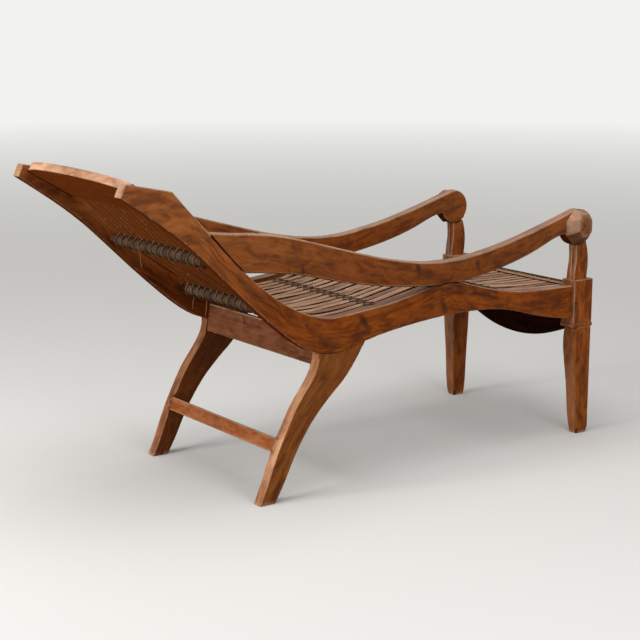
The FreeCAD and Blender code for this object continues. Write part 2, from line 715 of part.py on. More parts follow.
def make_slats():
    """The bed: one outline for every slat, side by side across the chair."""
    outline = side_sketch("slat_outline", slat_runs())
    for number in range(SLAT_COUNT):
        start = SLAT_FIRST + SLAT_PITCH * number
        keep(plate(f"slat_board_{number + 1:02d}", outline, start, SLAT_WIDTH), f"slat_{number + 1:02d}")


def lashing_path(station):
    """Edges of one string wound about a rod and over each slat in turn."""
    centre_y, centre_z = (size.value for size in rod_centre(station))
    points = [V(0, y.value, z.value) for y, z in spots(SLAT_SHARES)]
    index = SLAT_SHARES.index(ROD_SHARES[station])
    before = points[index - 1]
    after = points[min(index + 1, len(points) - 1)]
    along, rise = lean(spots(SLAT_SHARES), index)
    toward = V(0, along, rise)
    up = V(0, -rise, along)
    if along < 0:
        up = -up
    string = S["string_diameter"].value
    offset = WHIPPED_RADIUS.value + string / 2 + S["string_gap"].value
    slat_top = WHIPPED_RADIUS.value + S["fit_gap"].value + S["slat_thickness"].value
    # Where the slats bend up beside a rod the string passes as much higher over them
    sag = ((before + after) / 2 - points[index]).dot(up) * (2 * offset / (after - before).Length) ** 2
    height = slat_top + sag + string / 2 + S["string_gap"].value
    pitch = SLAT_PITCH.value
    first_gap = SLAT_FIRST.value - S["slat_gap"].value / 2

    def put(x, sideways, level):
        return V(x, centre_y, centre_z) + toward * sideways + up * level

    slant = (V(pitch, 0, 0) - toward * offset * 2).normalize()
    edges = []
    for number in range(SLAT_COUNT):
        here = first_gap + pitch * number
        next_gap = here + pitch
        rise_end = put(here, offset, height) - up * string
        cross_start = put(here, offset, height) + slant * string
        cross_end = put(next_gap, -offset, height) - slant * string
        fall_start = put(next_gap, -offset, height) - up * string
        diagonal = (slant - up).normalize() * (math.sqrt(2) - 1) * string
        back_diagonal = (-slant - up).normalize() * (math.sqrt(2) - 1) * string
        edges.append(Part.LineSegment(put(here, offset, 0), rise_end))
        edges.append(Part.Arc(rise_end, put(here, offset, height) + diagonal, cross_start))
        edges.append(Part.LineSegment(cross_start, cross_end))
        edges.append(Part.Arc(cross_end, put(next_gap, -offset, height) + back_diagonal, fall_start))
        edges.append(Part.LineSegment(fall_start, put(next_gap, -offset, 0)))
        if number < SLAT_COUNT - 1:
            under = (put(next_gap, -offset, 0), put(next_gap, 0, -offset), put(next_gap, offset, 0))
            edges.append(Part.Arc(*under))
    return edges


def least_gap(wire, diameter):
    """Least distance between separate stretches of a wound string, on points along it."""
    points = wire.discretize(Distance=diameter)
    nearest = min(
        a.distanceToPoint(b)
        for i, a in enumerate(points)
        for b in points[i + GAP_STEP_COUNTS[0]:i + GAP_STEP_COUNTS[1]]
    )
    return nearest - diameter


def tube(path, diameter):
    """A round string along a path of tangent lines and arcs."""
    wire = Part.Wire([edge.toShape() for edge in path])
    first = path[0]
    start = first.value(first.FirstParameter)
    direction = first.tangent(first.FirstParameter)[0]
    profile = Part.Wire(Part.Circle(start, direction, diameter / 2).toShape())
    solid = wire.makePipeShell([profile], True, False)
    expected = math.pi * diameter ** 2 / 4 * wire.Length
    return solid, wire, solid.Volume / expected


def make_lashings():
    """One string per rod, tied over every slat."""
    for station in ROD_SHARES:
        solid, wire, ratio = tube(lashing_path(station), S["string_diameter"].value)
        lashing = doc.addObject("Part::Feature", station + "_string")
        lashing.Shape = solid
        keep(lashing, station + "_lashing")
        gap = least_gap(wire, S["string_diameter"].value)
        print(f"{station} lashing: length {wire.Length:.0f} mm, volume ratio {ratio:.4f}, gap {gap:.2f} mm")


def rounded_route(points):
    """Straight runs through points, with a tangent arc at each point as large as the runs allow."""
    edges = []
    radii = []
    start = points[0]
    for before, here, after in zip(points, points[1:], points[2:]):
        come = (before - here).normalize()
        leave = (after - here).normalize()
        half_turn = (math.pi - come.getAngle(leave)) / 2
        shorter = min(before.distanceToPoint(here), here.distanceToPoint(after))
        trim = RUN_SHARE * shorter
        radius = trim / math.tan(half_turn)
        arc_start = here + come * trim
        arc_end = here + leave * trim
        bisector = (come + leave).normalize()
        middle = here + bisector * (radius / math.cos(half_turn) - radius)
        edges.append(Part.LineSegment(start, arc_start))
        edges.append(Part.Arc(arc_start, middle, arc_end))
        radii.append(round(radius, 1))
        start = arc_end
    edges.append(Part.LineSegment(start, points[-1]))
    return edges, radii


def make_tails():
    """Loose ends of the lashing strings, hanging below the back rods."""
    for name, points in STRING_TAILS.items():
        path, radii = rounded_route([V(*point) for point in points])
        solid, wire, ratio = tube(path, S["tail_diameter"].value)
        tail = doc.addObject("Part::Feature", name + "_tail")
        tail.Shape = solid
        keep(tail, name + "_string_tail")
        print(f"{name} tail: length {wire.Length:.1f} mm, radii {radii}, volume ratio {ratio:.4f}")


rods, rod_sockets = make_rods()
head_board = make_head_board()
cross_rail = make_cross_rail()
stretcher = make_stretcher()
pegs = make_pegs()
rails, rail_boards = make_rails(rod_sockets, head_board, cross_rail, pegs)
make_back_legs(rails, cross_rail, stretcher)
arms = make_arms(rail_boards, pegs)
make_bosses()
apron = make_apron()
make_front_legs(rails, arms, apron)
make_slats()
make_slat_supports()
make_lashings()
make_tails()
doc.recompute()

for item in doc.Objects:
    if "Invalid" in item.State or "Error" in item.State:
        raise RuntimeError(f"{item.Label} did not compute: {item.State}")
os.makedirs("parts", exist_ok=True)
for item in parts:
    if item.Shape.isNull() or not item.Shape.isValid():
        raise RuntimeError(f"{item.Label} has no valid shape")
    item.Shape.exportStep(f"parts/{item.Label}.step")
print(f"{len(parts)} pieces written")
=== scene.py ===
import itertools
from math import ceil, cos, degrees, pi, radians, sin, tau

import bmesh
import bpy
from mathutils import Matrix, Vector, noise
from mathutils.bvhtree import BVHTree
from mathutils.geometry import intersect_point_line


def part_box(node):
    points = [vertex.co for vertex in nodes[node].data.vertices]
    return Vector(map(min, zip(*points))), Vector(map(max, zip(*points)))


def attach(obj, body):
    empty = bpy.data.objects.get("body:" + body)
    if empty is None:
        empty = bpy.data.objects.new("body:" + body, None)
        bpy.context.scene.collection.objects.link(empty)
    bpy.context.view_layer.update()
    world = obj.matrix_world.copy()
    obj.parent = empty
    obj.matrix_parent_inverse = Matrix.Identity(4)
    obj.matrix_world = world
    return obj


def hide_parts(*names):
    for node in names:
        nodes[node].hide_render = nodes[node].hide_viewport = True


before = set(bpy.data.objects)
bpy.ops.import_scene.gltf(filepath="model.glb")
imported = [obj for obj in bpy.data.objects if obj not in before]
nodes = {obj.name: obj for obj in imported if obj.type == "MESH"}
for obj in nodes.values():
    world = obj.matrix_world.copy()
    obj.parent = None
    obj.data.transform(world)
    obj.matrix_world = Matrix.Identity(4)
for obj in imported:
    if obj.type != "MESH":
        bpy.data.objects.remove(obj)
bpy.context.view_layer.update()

# %% [markdown]
# A planters chair is a long reclining chair from the verandas of South and South-East Asia. This one
# is solid teak: two sawn side rails carry a hammock of slats that are bound with string to five rods.
# The CAD model already has every board, tenon and gap at its real size, in metres and at its real
# place. What is left for Blender is what makes old teak look old: edges worn round and pale, oiled
# grain, dry slats, smoke-dark rods and twisted string.

print("pieces in the frame:", len(nodes))

# %% [markdown]
# The camera comes first, because every later choice is judged through it. It stands behind the
# chair, on the sitter's right, higher than the head end and some four and a half metres away, and
# looks slightly down. A direction is easier to reason about than three angles, so the camera is
# turned to look along one, with its own up axis kept upright. The long lens keeps the rails nearly
# parallel.

# %% The camera behind the sitter's right shoulder
EYE = Vector((-3.5853, 2.6345, 1.3698))
GAZE = Vector((0.788, -0.579, -0.209))
LENS_MM = 84.94
CHAIR_MIDDLE = Vector((0, 0, 0.45))

camera = bpy.data.objects.new("photo_camera", bpy.data.cameras.new("photo_camera"))
bpy.context.collection.objects.link(camera)
camera.location = EYE
camera.rotation_euler = GAZE.to_track_quat("-Z", "Y").to_euler()
camera.data.lens = LENS_MM
bpy.context.scene.camera = camera
bpy.context.scene.view_settings.view_transform = "Standard"
print("camera distance from the chair's middle:", round((EYE - CHAIR_MIDDLE).length, 2), "m")

# %% [markdown]
# Three loose ends of string hang below the back rods. A string end is a real length of something
# limp, so it is a curve with a round section and not a carved shape. A NURBS curve is right for it:
# the curve passes smoothly between its control points and has no corners. The points follow the
# route that the CAD gives, and the order is set after the points exist, or Blender ignores it.

# %% Three loose ends of string
TAIL_WIDTH = 0.002
TAILS = {
    "upper": ((0.131, 0.5412, 0.6649), (0.129, 0.539, 0.652), (0.132, 0.537, 0.640),
              (0.134, 0.535, 0.629), (0.131, 0.534, 0.618)),
    "lower_long": ((0.164, 0.2947, 0.5066), (0.162, 0.298, 0.487), (0.158, 0.302, 0.472),
                   (0.159, 0.304, 0.457), (0.163, 0.303, 0.442)),
    "lower_short": ((0.1965, 0.3210, 0.4949), (0.199, 0.325, 0.481), (0.197, 0.325, 0.472),
                    (0.193, 0.329, 0.462)),
}


def loose_end(name, points):
    """A string end as one smooth NURBS curve with a round section."""
    curve = bpy.data.curves.new(name, "CURVE")
    curve.dimensions = "3D"
    curve.bevel_depth = TAIL_WIDTH / 2
    curve.bevel_resolution = 3
    curve.use_fill_caps = True
    spline = curve.splines.new("NURBS")
    spline.points.add(len(points) - 1)
    for point, place in zip(spline.points, points):
        point.co = (*place, 1)
    spline.order_u = 3
    spline.use_endpoint_u = True
    piece = bpy.data.objects.new(name, curve)
    bpy.context.collection.objects.link(piece)
    return piece


tails = {}
for place, points in TAILS.items():
    tails[place] = loose_end(place + "_loose_end", points)

# %% [markdown]
# Every finish below is a node tree, and a tree written out in full hides its idea in plumbing. One
# small function adds any node: its settings are keyword arguments, and each input is a value, an
# output of an earlier node, or that node itself where its first output is meant. Colours are picked
# as sRGB hex values, as on a paint chart, and one function turns them into the linear values that
# Blender mixes. The shader comes last, when all that feeds it is there.

# %% One way to write a colour and one way to add a node
# A Mix node has sockets for each kind of value; these two are the ones for colours
MIX_UNDER = 6
MIX_OVER = 7


def paint(code):
    """An sRGB hex colour as linear RGBA."""
    channels = [int(code[i:i + 2], 16) / 255 for i in (0, 2, 4)]
    linear = [c / 12.92 if c <= 0.04045 else ((c + 0.055) / 1.055) ** 2.4 for c in channels]
    return (*linear, 1)


def add_node(material, kind, inputs, **settings):
    """Add a node to a material; an input is a value, an output, or a node for its first output."""
    node = material.node_tree.nodes.new("ShaderNode" + kind)
    for name, value in settings.items():
        setattr(node, name, value)
    for name, value in inputs.items():
        if isinstance(value, bpy.types.Node):
            value = next(output for output in value.outputs if output.enabled)
        if isinstance(value, bpy.types.NodeSocket):
            material.node_tree.links.new(value, node.inputs[name])
        else:
            node.inputs[name].default_value = value
    return node


def new_finish(name):
    """A material with no nodes yet."""
    material = bpy.data.materials.new(name)
    material.use_nodes = True
    material.node_tree.nodes.clear()
    return material


def close_finish(material, inputs):
    """Give a finish its one shader."""
    shader = add_node(material, "BsdfPrincipled", inputs)
    add_node(material, "OutputMaterial", {"Surface": shader})
    return material


print("teak brown in linear light:", [round(c, 3) for c in paint("7a3f1c")])

# %% [markdown]
# Teak seen from across a room is not one brown. The board has broad bands from where it was sawn in
# the log, a cloudy figure a few centimetres long that glows orange where the fibres tip towards the
# light, dark growth lines, and short open pores. Each is a noise pattern in real metres, squeezed
# across the grain and stretched along it. The fourth noise axis is the number of the board, so that
# sixteen slats can share one finish and still come from sixteen places in the log. A curved rail is
# sawn so that its grain follows the curve: a float curve holds the height of its middle line, and
# taking that height off bends the pattern with the board.

# %% Patterns that run along the grain
# Width across the grain and length along it, in metres, then the detail and how far it wavers
PATTERNS = {
    # Fat and lean years of the tree cross a sawn board every few centimetres
    "bands": (0.045, 0.60, 3, 0.6),
    # The fibres change their lean about every two centimetres
    "figure": (0.022, 0.060, 4, 0.9),
    # Planted teak adds some six millimetres of radius a year
    "lines": (0.006, 0.16, 4, 0.3),
    # Real pores are a quarter of a millimetre wide; drawn like that, the picture would lose them
    "pores": (0.0011, 0.014, 1, 0.0),
    # The heel of a hand leaves a patch, a fingertip a fleck and a knock a nick
    "patches": (0.05, 0.09, 5, 0.4),
    "flecks": (0.007, 0.018, 3, 0.8),
    "nicks": (0.0035, 0.0056, 2, 0.5),
}


def fibre_noise(material, fibres, board, width, length, detail, waver):
    """Noise of one width across the grain and one length along it, different for each board."""
    squeeze = {"Vector": fibres, "Scale": (1 / width, 1 / length, 1 / width)}
    place = add_node(material, "Mapping", squeeze)
    inputs = {"Vector": place, "W": board, "Scale": 1.0, "Detail": detail, "Distortion": waver}
    return add_node(material, "TexNoise", inputs, noise_dimensions="4D")


for name, (width, length, *_) in PATTERNS.items():
    print(name + ":", round(1000 * width, 1), "mm wide,", round(1000 * length, 1), "mm long")

# %% Grain that follows a sawn curve
# The middle lines stay within this distance of the chair's middle
REACH = 0.9


def follow(material, fibres, line):
    """Fibres that follow a middle line, given as points of run along the board and height."""
    parts = add_node(material, "SeparateXYZ", {"Vector": fibres}).outputs
    span = {"Value": parts["Y"], "From Min": -REACH, "From Max": REACH}
    bend = add_node(material, "FloatCurve", {"Value": add_node(material, "MapRange", span)})
    curve = bend.mapping.curves[0]
    places = [((run + REACH) / (2 * REACH), height) for run, height in sorted(line)]
    curve.points[0].location = (0, places[0][1])
    curve.points[1].location = (1, places[-1][1])
    for place in places:
        curve.points.new(*place)
    bend.mapping.update()
    level = add_node(material, "Math", {0: parts["Z"], 1: bend}, operation="SUBTRACT")
    return add_node(material, "CombineXYZ", {"X": parts["X"], "Y": parts["Y"], "Z": level})


print("grain can follow a board up to", 2 * REACH, "m long")

# %% What a finish reads from a board
BOARD_STEP = 3.7


def board_patterns(material, turn, line):
    """A board's patterns by name, and with them its own tone, its height, its facing and its wear."""
    place = add_node(material, "TexCoord", {}).outputs["Object"]
    turned = {"Vector": place, "Rotation": turn}
    fibres = add_node(material, "VectorRotate", turned, rotation_type="EULER_XYZ")
    if line:
        fibres = follow(material, fibres, line)
    number = add_node(material, "Attribute", {}, attribute_name="board").outputs["Fac"]
    board = add_node(material, "Math", {0: number, 1: BOARD_STEP}, operation="MULTIPLY")
    wood = {name: fibre_noise(material, fibres, board, *pattern)
            for name, pattern in PATTERNS.items()}
    wood["place"] = place
    wood["tone"] = add_node(material, "TexWhiteNoise", {"W": number}, noise_dimensions="1D")
    wood["height"] = add_node(material, "SeparateXYZ", {"Vector": place}).outputs["Z"]
    facing = add_node(material, "NewGeometry", {}).outputs["Normal"]
    wood["upward"] = add_node(material, "SeparateXYZ", {"Vector": facing}).outputs["Z"]
    for name in ("wear", "seam"):
        wood[name] = add_node(material, "Attribute", {}, attribute_name=name).outputs["Fac"]
    return wood


print("boards lie", BOARD_STEP, "apart in the noise of the log")

# %% [markdown]
# Age lies over the grain in layers. Smoke and hands have left dark smudges, most of all where a rod
# or a peg ends inside the board. Higher up, a tan is painted in as the sheen that the boards catch
# there. Dust has settled on whatever faces up and has dried it to a pale pinkish grey, and that pale
# also stands in as a painted sheen on the tops; steep sides of slats are darkened as painted shade,
# and the undersides take a deep orange as painted shade.
# Edges are rubbed pale and nicked, and every closed joint holds a line of black dirt, which came
# last. A layer painted by hand would fit one board only. Here its cover is read from a pattern, from
# the way a face looks or from an attribute of the mesh, and where several of them have a say, their
# shares are multiplied.

# %% One colour laid over another
# A reading of a pattern: from the first value to the second, its share goes from the third to the
# fourth, and stays there beyond them
AS_IT_IS = (0.0, 1.0, 0.0, 1.0)


def share_of(material, *readings):
    """The product of the shares that one or more readings give."""
    share = None
    for pattern, low, high, start, end in readings:
        limits = {"Value": pattern, "From Min": low, "From Max": high, "To Min": start, "To Max": end}
        read = add_node(material, "MapRange", limits)
        if share is None:
            share = read
        else:
            share = add_node(material, "Math", {0: share, 1: read}, operation="MULTIPLY")
    return share


def layer(material, under, over, *readings):
    """One colour over another, as far as its readings let it cover."""
    inputs = {0: share_of(material, *readings), MIX_UNDER: under, MIX_OVER: over}
    return add_node(material, "Mix", inputs, data_type="RGBA")


print("a pattern read as it is covers from", AS_IT_IS[2], "to", AS_IT_IS[3])

# %% The colour that the wood grew
BANDING = (0.30, 0.60, 0.2, 1.0)
GLOW = (0.40, 0.70, 0.0, 0.8)
SHADE = (0.46, 0.30, 0.0, 0.45)
DARK_LINES = (0.48, 0.32, 0.0, 0.5)
OPEN_PORES = (0.36, 0.28, 0.0, 0.5)
PORE_BROWN = paint("1f0e06")


def grown_colour(material, wood, deep, warm, light, variety):
    """The wood's own tones: bands, figure, growth lines, pores, and a shade for each board."""
    colour = deep
    for over, pattern, reading in (
            (warm, "bands", BANDING), (light, "figure", GLOW), (deep, "figure", SHADE),
            (deep, "lines", DARK_LINES), (PORE_BROWN, "pores", OPEN_PORES),
            (deep, "tone", (0.0, 1.0, 0.0, variety))):
        colour = layer(material, colour, over, (wood[pattern], *reading))
    return colour


print("the deep tone shades up to", DARK_LINES[3], "of a growth line")

# %% Smoke, smudges and a painted sheen higher up
SMOKED = {"patches": (0.55, 0.72, 0.0, 0.4), "flecks": (0.58, 0.70, 0.0, 0.4)}
# Above half a metre the boards are lightened towards a tan, a painted sheen, more in parts of the
# figure
SHEEN_PAINTED_WITH_HEIGHT = (0.54, 0.80, 0.0, 0.36)
SHEEN_PAINTED_IN_FIGURE = (0.36, 0.64, 0.5, 1.4)
MARK_DEPTH = 0.02
RAGGEDNESS = 1.8
# A smudge is read by the distance from its middle, in its own radii
SMUDGED = (2.2, 1.1, 0.0, 0.75)
SMOKE_BROWN = paint("24110a")
PAINTED_SHEEN_TAN = paint("c27a44")


def distance_from_smudge(material, wood, middle, lean, length, width):
    """How far a place is from a long dark mark's middle, with a ragged rim."""
    mark = {"Vector": wood["place"], "Location": middle, "Rotation": (radians(lean), 0, 0),
            "Scale": (MARK_DEPTH, length / 2, width / 2)}
    inside = add_node(material, "Mapping", mark, vector_type="TEXTURE")
    distance = add_node(material, "VectorMath", {0: inside}, operation="LENGTH")
    ragged = {0: wood["patches"], 1: RAGGEDNESS, 2: distance}
    return add_node(material, "Math", ragged, operation="MULTIPLY_ADD")


def smoked_sheened_and_smudged(material, wood, colour, marks):
    """A colour under smoke, lightened higher up by a painted sheen, and smudged where rods and pegs
    end.
    """
    for pattern, reading in SMOKED.items():
        colour = layer(material, colour, SMOKE_BROWN, (wood[pattern], *reading))
    # Higher boards lighten towards tan: painted sheen
    colour = layer(material, colour, PAINTED_SHEEN_TAN, (wood["height"], *SHEEN_PAINTED_WITH_HEIGHT),
                   (wood["figure"], *SHEEN_PAINTED_IN_FIGURE))
    for mark in marks:
        ragged = distance_from_smudge(material, wood, *mark)
        colour = layer(material, colour, SMOKE_BROWN, (ragged, *SMUDGED))
    return colour


# The height printed here is where the painted sheen begins
print("oil is rubbed thin above", SHEEN_PAINTED_WITH_HEIGHT[0], "m")

# %% Rubbed edges, nicks and the dirt in joints
RUBBED_IN_PATCHES = (0.36, 0.56, 0.35, 1.0)
# Rubbing shows least where a face looks down, which also keeps undersides dark as painted shade:
# 1 looks straight up and -1 straight down
RUBBED_LESS_ON_SHADED_UNDERSIDES = (-0.45, -0.05, 0.15, 1.0)
# Bare wood bleaches along the bands, and a third of it by the figure
FIGURE_IN_DRYNESS = 0.35
BLEACHED = (0.40, 0.60, 0.0, 1.0)
# A nick shows where its pattern passes a chance, which a worn edge lowers
NICK_CHANCE = (0.0, 1.0, 0.76, 0.63)
NICKED = (-0.01, 0.02, 0.0, 0.8)
SCUFFED_FOOT = (0.012, 0.0, 0.0, 0.6)
SCUFFED_LINES = (0.40, 0.60, 0.0, 1.0)
JOINT_DIRT = (0.0, 1.0, 0.0, 0.95)
NICK_CREAM = paint("c4a68c")
JOINT_BLACK = paint("0d0604")


def rubbed_and_dirty(material, wood, colour, worn, weathered):
    """A colour with pale edges, cream nicks and scuffs, and black dirt in the joints."""
    dryness = add_node(material, "Mix", {0: FIGURE_IN_DRYNESS, 2: wood["bands"], 3: wood["figure"]})
    pale = layer(material, weathered, worn, (dryness, *BLEACHED))
    colour = layer(material, colour, pale, (wood["wear"], *AS_IT_IS),
                   (wood["patches"], *RUBBED_IN_PATCHES), (wood["upward"], *RUBBED_LESS_ON_SHADED_UNDERSIDES))
    chance = share_of(material, (wood["wear"], *NICK_CHANCE))
    passed = add_node(material, "Math", {0: wood["nicks"], 1: chance}, operation="SUBTRACT")
    nicked = share_of(material, (passed, *NICKED))
    scuffed = share_of(material, (wood["height"], *SCUFFED_FOOT), (wood["lines"], *SCUFFED_LINES))
    marred = add_node(material, "Math", {0: nicked, 1: scuffed}, operation="MAXIMUM")
    colour = layer(material, colour, NICK_CREAM, (marred, *AS_IT_IS))
    return layer(material, colour, JOINT_BLACK, (wood["seam"], *JOINT_DIRT))


print("feet are scuffed up to", round(1000 * SCUFFED_FOOT[0]), "mm")

# %% Old teak
# How far a face looks up decides on painted shade on steep sides, on dust and painted sheen on top
# and on painted shade underneath
SIDES_IN_PAINTED_SHADE = (0.72, 0.35)
DUST_AND_SHEEN_ON_TOPS = (0.60, 0.95)
DUST_AND_SHEEN_BETWEEN_LINES = (0.36, 0.60, 0.30, 1.0)
UNDERSIDE_PAINTED_SHADE = (-0.15, -0.60, 0.0, 0.85)
GLOSS_IN_LINES = (0.3, 0.7)
DULLER = 0.08
GLOSSIER = -0.06
LINE_DEPTH = 0.0004
LINE_STRENGTH = 0.6


def oiled_teak(name, turn, line, tones, age_and_light, roughness=0.5, specular=0.12, top_dust_and_sheen=0.5, side_shade=0.0,
               variety=0.25, marks=()):
    """Teak, grain along Y after a turn: three tones, worn edges, dust with painted sheen, painted
    shade.
    """
    deep, warm, light = map(paint, tones)
    worn, weathered, dust_and_sheen, underside_shade = map(paint, age_and_light)
    material = new_finish(name)
    wood = board_patterns(material, turn, line)
    colour = grown_colour(material, wood, deep, warm, light, variety)
    colour = smoked_sheened_and_smudged(material, wood, colour, marks)
    # Steep sides darken towards the deep tone: painted shade
    if side_shade:
        colour = layer(material, colour, deep, (wood["upward"], *SIDES_IN_PAINTED_SHADE, 0.0, side_shade))
    # Faces that look down take a deep orange: painted shade
    colour = layer(material, colour, underside_shade, (wood["upward"], *UNDERSIDE_PAINTED_SHADE))
    # Faces that look up turn pale with dust, which also stands in for a painted sheen
    colour = layer(material, colour, dust_and_sheen, (wood["upward"], *DUST_AND_SHEEN_ON_TOPS, 0.0, top_dust_and_sheen),
                   (wood["lines"], *DUST_AND_SHEEN_BETWEEN_LINES), (wood["tone"], 0.0, 1.0, 1.0, 1.0 - variety))
    colour = rubbed_and_dirty(material, wood, colour, worn, weathered)
    gloss = (wood["lines"], *GLOSS_IN_LINES, roughness + DULLER, roughness + GLOSSIER)
    relief = {"Height": wood["lines"], "Distance": LINE_DEPTH, "Strength": LINE_STRENGTH}
    return close_finish(material, {
        "Base Color": colour, "Roughness": share_of(material, gloss),
        "Specular IOR Level": specular, "Normal": add_node(material, "Bump", relief)})


print("growth lines stand", round(1000 * LINE_DEPTH, 1), "mm proud")

# %% [markdown]
# Each group of boards gets its own mix of the same teak. Oiled wood has an IOR of about 1.5, which is
# the shader's own, no metal in it and a roughness near 0.5, and every board starts from there. The
# specular level would start at 0.5 too, but dust and worn oil scatter most of the highlight, so it
# comes down to a quarter of that, and to nothing on bare wood. The three tones are the wood's own,
# dark to light. The four further colours are the edge rubbed to fresh wood, the edge gone grey again,
# the dust on the tops, which also stands in as a painted sheen, and the painted shade of the
# underside.

# %% The lines that the grain follows
ALONG_Y = (0, 0, 0)
ALONG_X = (0, 0, pi / 2)
ALONG_Z = (pi / 2, 0, 0)
# Middle lines in side view, as distance from the chair's middle towards the head, and height
BED_LINE = ((0.63, 0.797), (0.531, 0.700), (0.395, 0.589), (0.304, 0.533), (0.220, 0.500),
            (0.129, 0.492), (-0.005, 0.505), (-0.129, 0.525), (-0.259, 0.543), (-0.324, 0.530),
            (-0.390, 0.510), (-0.521, 0.485), (-0.710, 0.472))
ARM_LINE = ((0.580, 0.775), (0.418, 0.757), (0.227, 0.713), (0.012, 0.653), (-0.166, 0.620),
            (-0.271, 0.617), (-0.375, 0.629), (-0.593, 0.676), (-0.731, 0.715))
# The turn for a leg lays its height along minus Y and its distance towards the head along Z
LEG_LINE = ((0.0, 0.404), (-0.078, 0.365), (-0.150, 0.330), (-0.220, 0.287), (-0.290, 0.230),
            (-0.350, 0.179), (-0.420, 0.147))
print("points on the bed line:", len(BED_LINE))

# %% Where rods, pegs and hands have left smudges
# A smudge's middle, its lean in degrees, its length and its width
RAIL_MARKS = (((-0.307, 0.270, 0.491), 0, 0.012, 0.012), ((-0.307, 0.070, 0.475), 53, 0.060, 0.020),
              ((-0.307, -0.224, 0.487), 69, 0.070, 0.020))
ARM_MARKS = (((-0.307, 0.283, 0.645), 90, 0.036, 0.012), ((-0.307, -0.126, 0.610), 80, 0.050, 0.016),
             ((-0.307, -0.355, 0.597), 75, 0.040, 0.016))
print("smudges:", len(RAIL_MARKS) + len(ARM_MARKS))

# %% Teak on the rails and arms
RUBBED_TONES = ("b98f70", "8a6a52")
RAIL_TONES = ("4a1e06", "823b08", "ad5a12")
RAIL_AGE_AND_LIGHT = (*RUBBED_TONES, "a08472", "52220b")
# Sawn teak, planed and oiled often: a deep orange brown with a low, soft gloss
rail_teak = oiled_teak("oiled_teak_rail", ALONG_Y, BED_LINE, RAIL_TONES, RAIL_AGE_AND_LIGHT, marks=RAIL_MARKS)
# The same boards where the oil never reached, on their undersides: no highlight at all
rail_edge_teak = oiled_teak("bare_teak_under_edge", ALONG_Y, BED_LINE, RAIL_TONES, RAIL_AGE_AND_LIGHT,
                            specular=0.0)
# Oiled teak under forearms: a shade darker, with a top pale from dust and a painted sheen
arm_teak = oiled_teak("oiled_teak_arm", ALONG_Y, ARM_LINE, ("481d07", "7a390c", "a25414"),
                      (*RUBBED_TONES, "ad9483", "4c200b"), top_dust_and_sheen=0.8, marks=ARM_MARKS)
print("finishes so far:", len(bpy.data.materials))

# %% Teak on the legs, posts and bosses
LEG_AGE_AND_LIGHT = ("d8a680", "96603c", "a3806a", "54290f")
# Oiled teak that has dried in the light: yellower, with tan backs, partly rubbed and partly painted
# light
leg_teak = oiled_teak("dry_oiled_teak_leg", ALONG_Z, LEG_LINE, ("56280c", "8a4c1c", "a8662a"),
                      LEG_AGE_AND_LIGHT)
# The far leg of the pair, in a darker copy of the leg finish that paints its shade: brown, with
# little shine
shaded_copy_leg_teak = oiled_teak("shaded_copy_teak_leg", ALONG_Z, LEG_LINE, ("4a2008", "763a10", "945018"),
                           LEG_AGE_AND_LIGHT)
# Teak turned and shaved to a post, then oiled: a warm orange, its grain upright
post_teak = oiled_teak("oiled_teak_post", ALONG_Z, (), ("54260a", "8a4210", "b0621e"),
                       (*RUBBED_TONES, "a3806a", "4c200b"))
# End grain carved to facets and held by every hand: paler and greyer than the boards
boss_teak = oiled_teak("end_grain_teak_boss", ALONG_X, (), ("4e2814", "7c4a2c", "946444"),
                       ("c8aa90", "a68670", "a3806a", "4c260f"))
print("finishes so far:", len(bpy.data.materials))

# %% Teak between the legs
# Planed teak that was hardly oiled: a dull greyish brown
cross_teak = oiled_teak("dull_teak_cross_board", ALONG_X, (), ("46230f", "6a3d22", "80503a"),
                        ("a07f68", "82624c", "96735c", "54290f"), roughness=0.6, specular=0.05)
# Teak scrubbed with the floor: pale, pinkish and dull
stretcher_teak = oiled_teak("scrubbed_teak_rung", ALONG_X, (), ("804220", "a05e36", "b4784c"),
                            ("c49a78", "a67e60", "b08a6c", "6a3416"), roughness=0.55, specular=0.05)
# Teak darkened nearly to black as painted shade, where the seat shades it: brown edges, no highlight
shaded_apron_teak = oiled_teak("shade_dark_teak_apron", ALONG_X, (), ("180a04", "2a120a", "3c1e0e"),
                        ("6a4c38", "4a3326", "7a5f4e", "1e0d06"), roughness=0.6, specular=0.0)
print("finishes so far:", len(bpy.data.materials))

# %% Dry teak on the head board and the slats
# Teak dried by the sun, its top edge rubbed to cream: matt, in orange and cream streaks
head_teak = oiled_teak("dry_teak_head_board", ALONG_X, (), ("43200e", "6e3a1a", "8a5024"),
                       ("cfa184", "94735c", "a3806a", "6a300f"), specular=0.0)
# Teak split and planed by hand, never oiled: tops pale with dust and painted sheen, sides darkened
# as painted shade, no two slats alike
slat_teak = oiled_teak("dry_planed_teak_slat", ALONG_Y, BED_LINE, ("331709", "7c4828", "a46c42"),
                       ("b48d72", "8e6a52", "d0ab92", "74380f"), specular=0.0, top_dust_and_sheen=0.95,
                       side_shade=0.75, variety=0.6)
print("teak finishes:", [m.name for m in bpy.data.materials if "teak" in m.name])

# %% [markdown]
# The rods are an older, darker wood that has been smoked and handled until it is nearly black. It
# has the same kinds of pattern as teak, so it takes the same function with other tones. The string
# is jute, gone grey-brown. Twisted string catches light in slanted bars, so its finish draws a wave
# across the UV map, which counts turns round the string one way and metres along it the other.
# Dry fibre has a roughness near 0.9 and hardly any highlight. Nails are iron, which is a metal with
# a roughness near 0.4 only where rust has not covered it with a matt crust.

# %% Smoked hardwood on the rods
# A dark hardwood shaved round and smoked: almost black, with a faint dust and painted sheen on top
rod_wood = oiled_teak("smoked_hardwood_rod", ALONG_X, (), ("160b07", "2b1810", "3a2418"),
                      ("4a3324", "3a281d", "43332a", "1a0d07"), top_dust_and_sheen=0.3)
print("rod finish:", rod_wood.name)

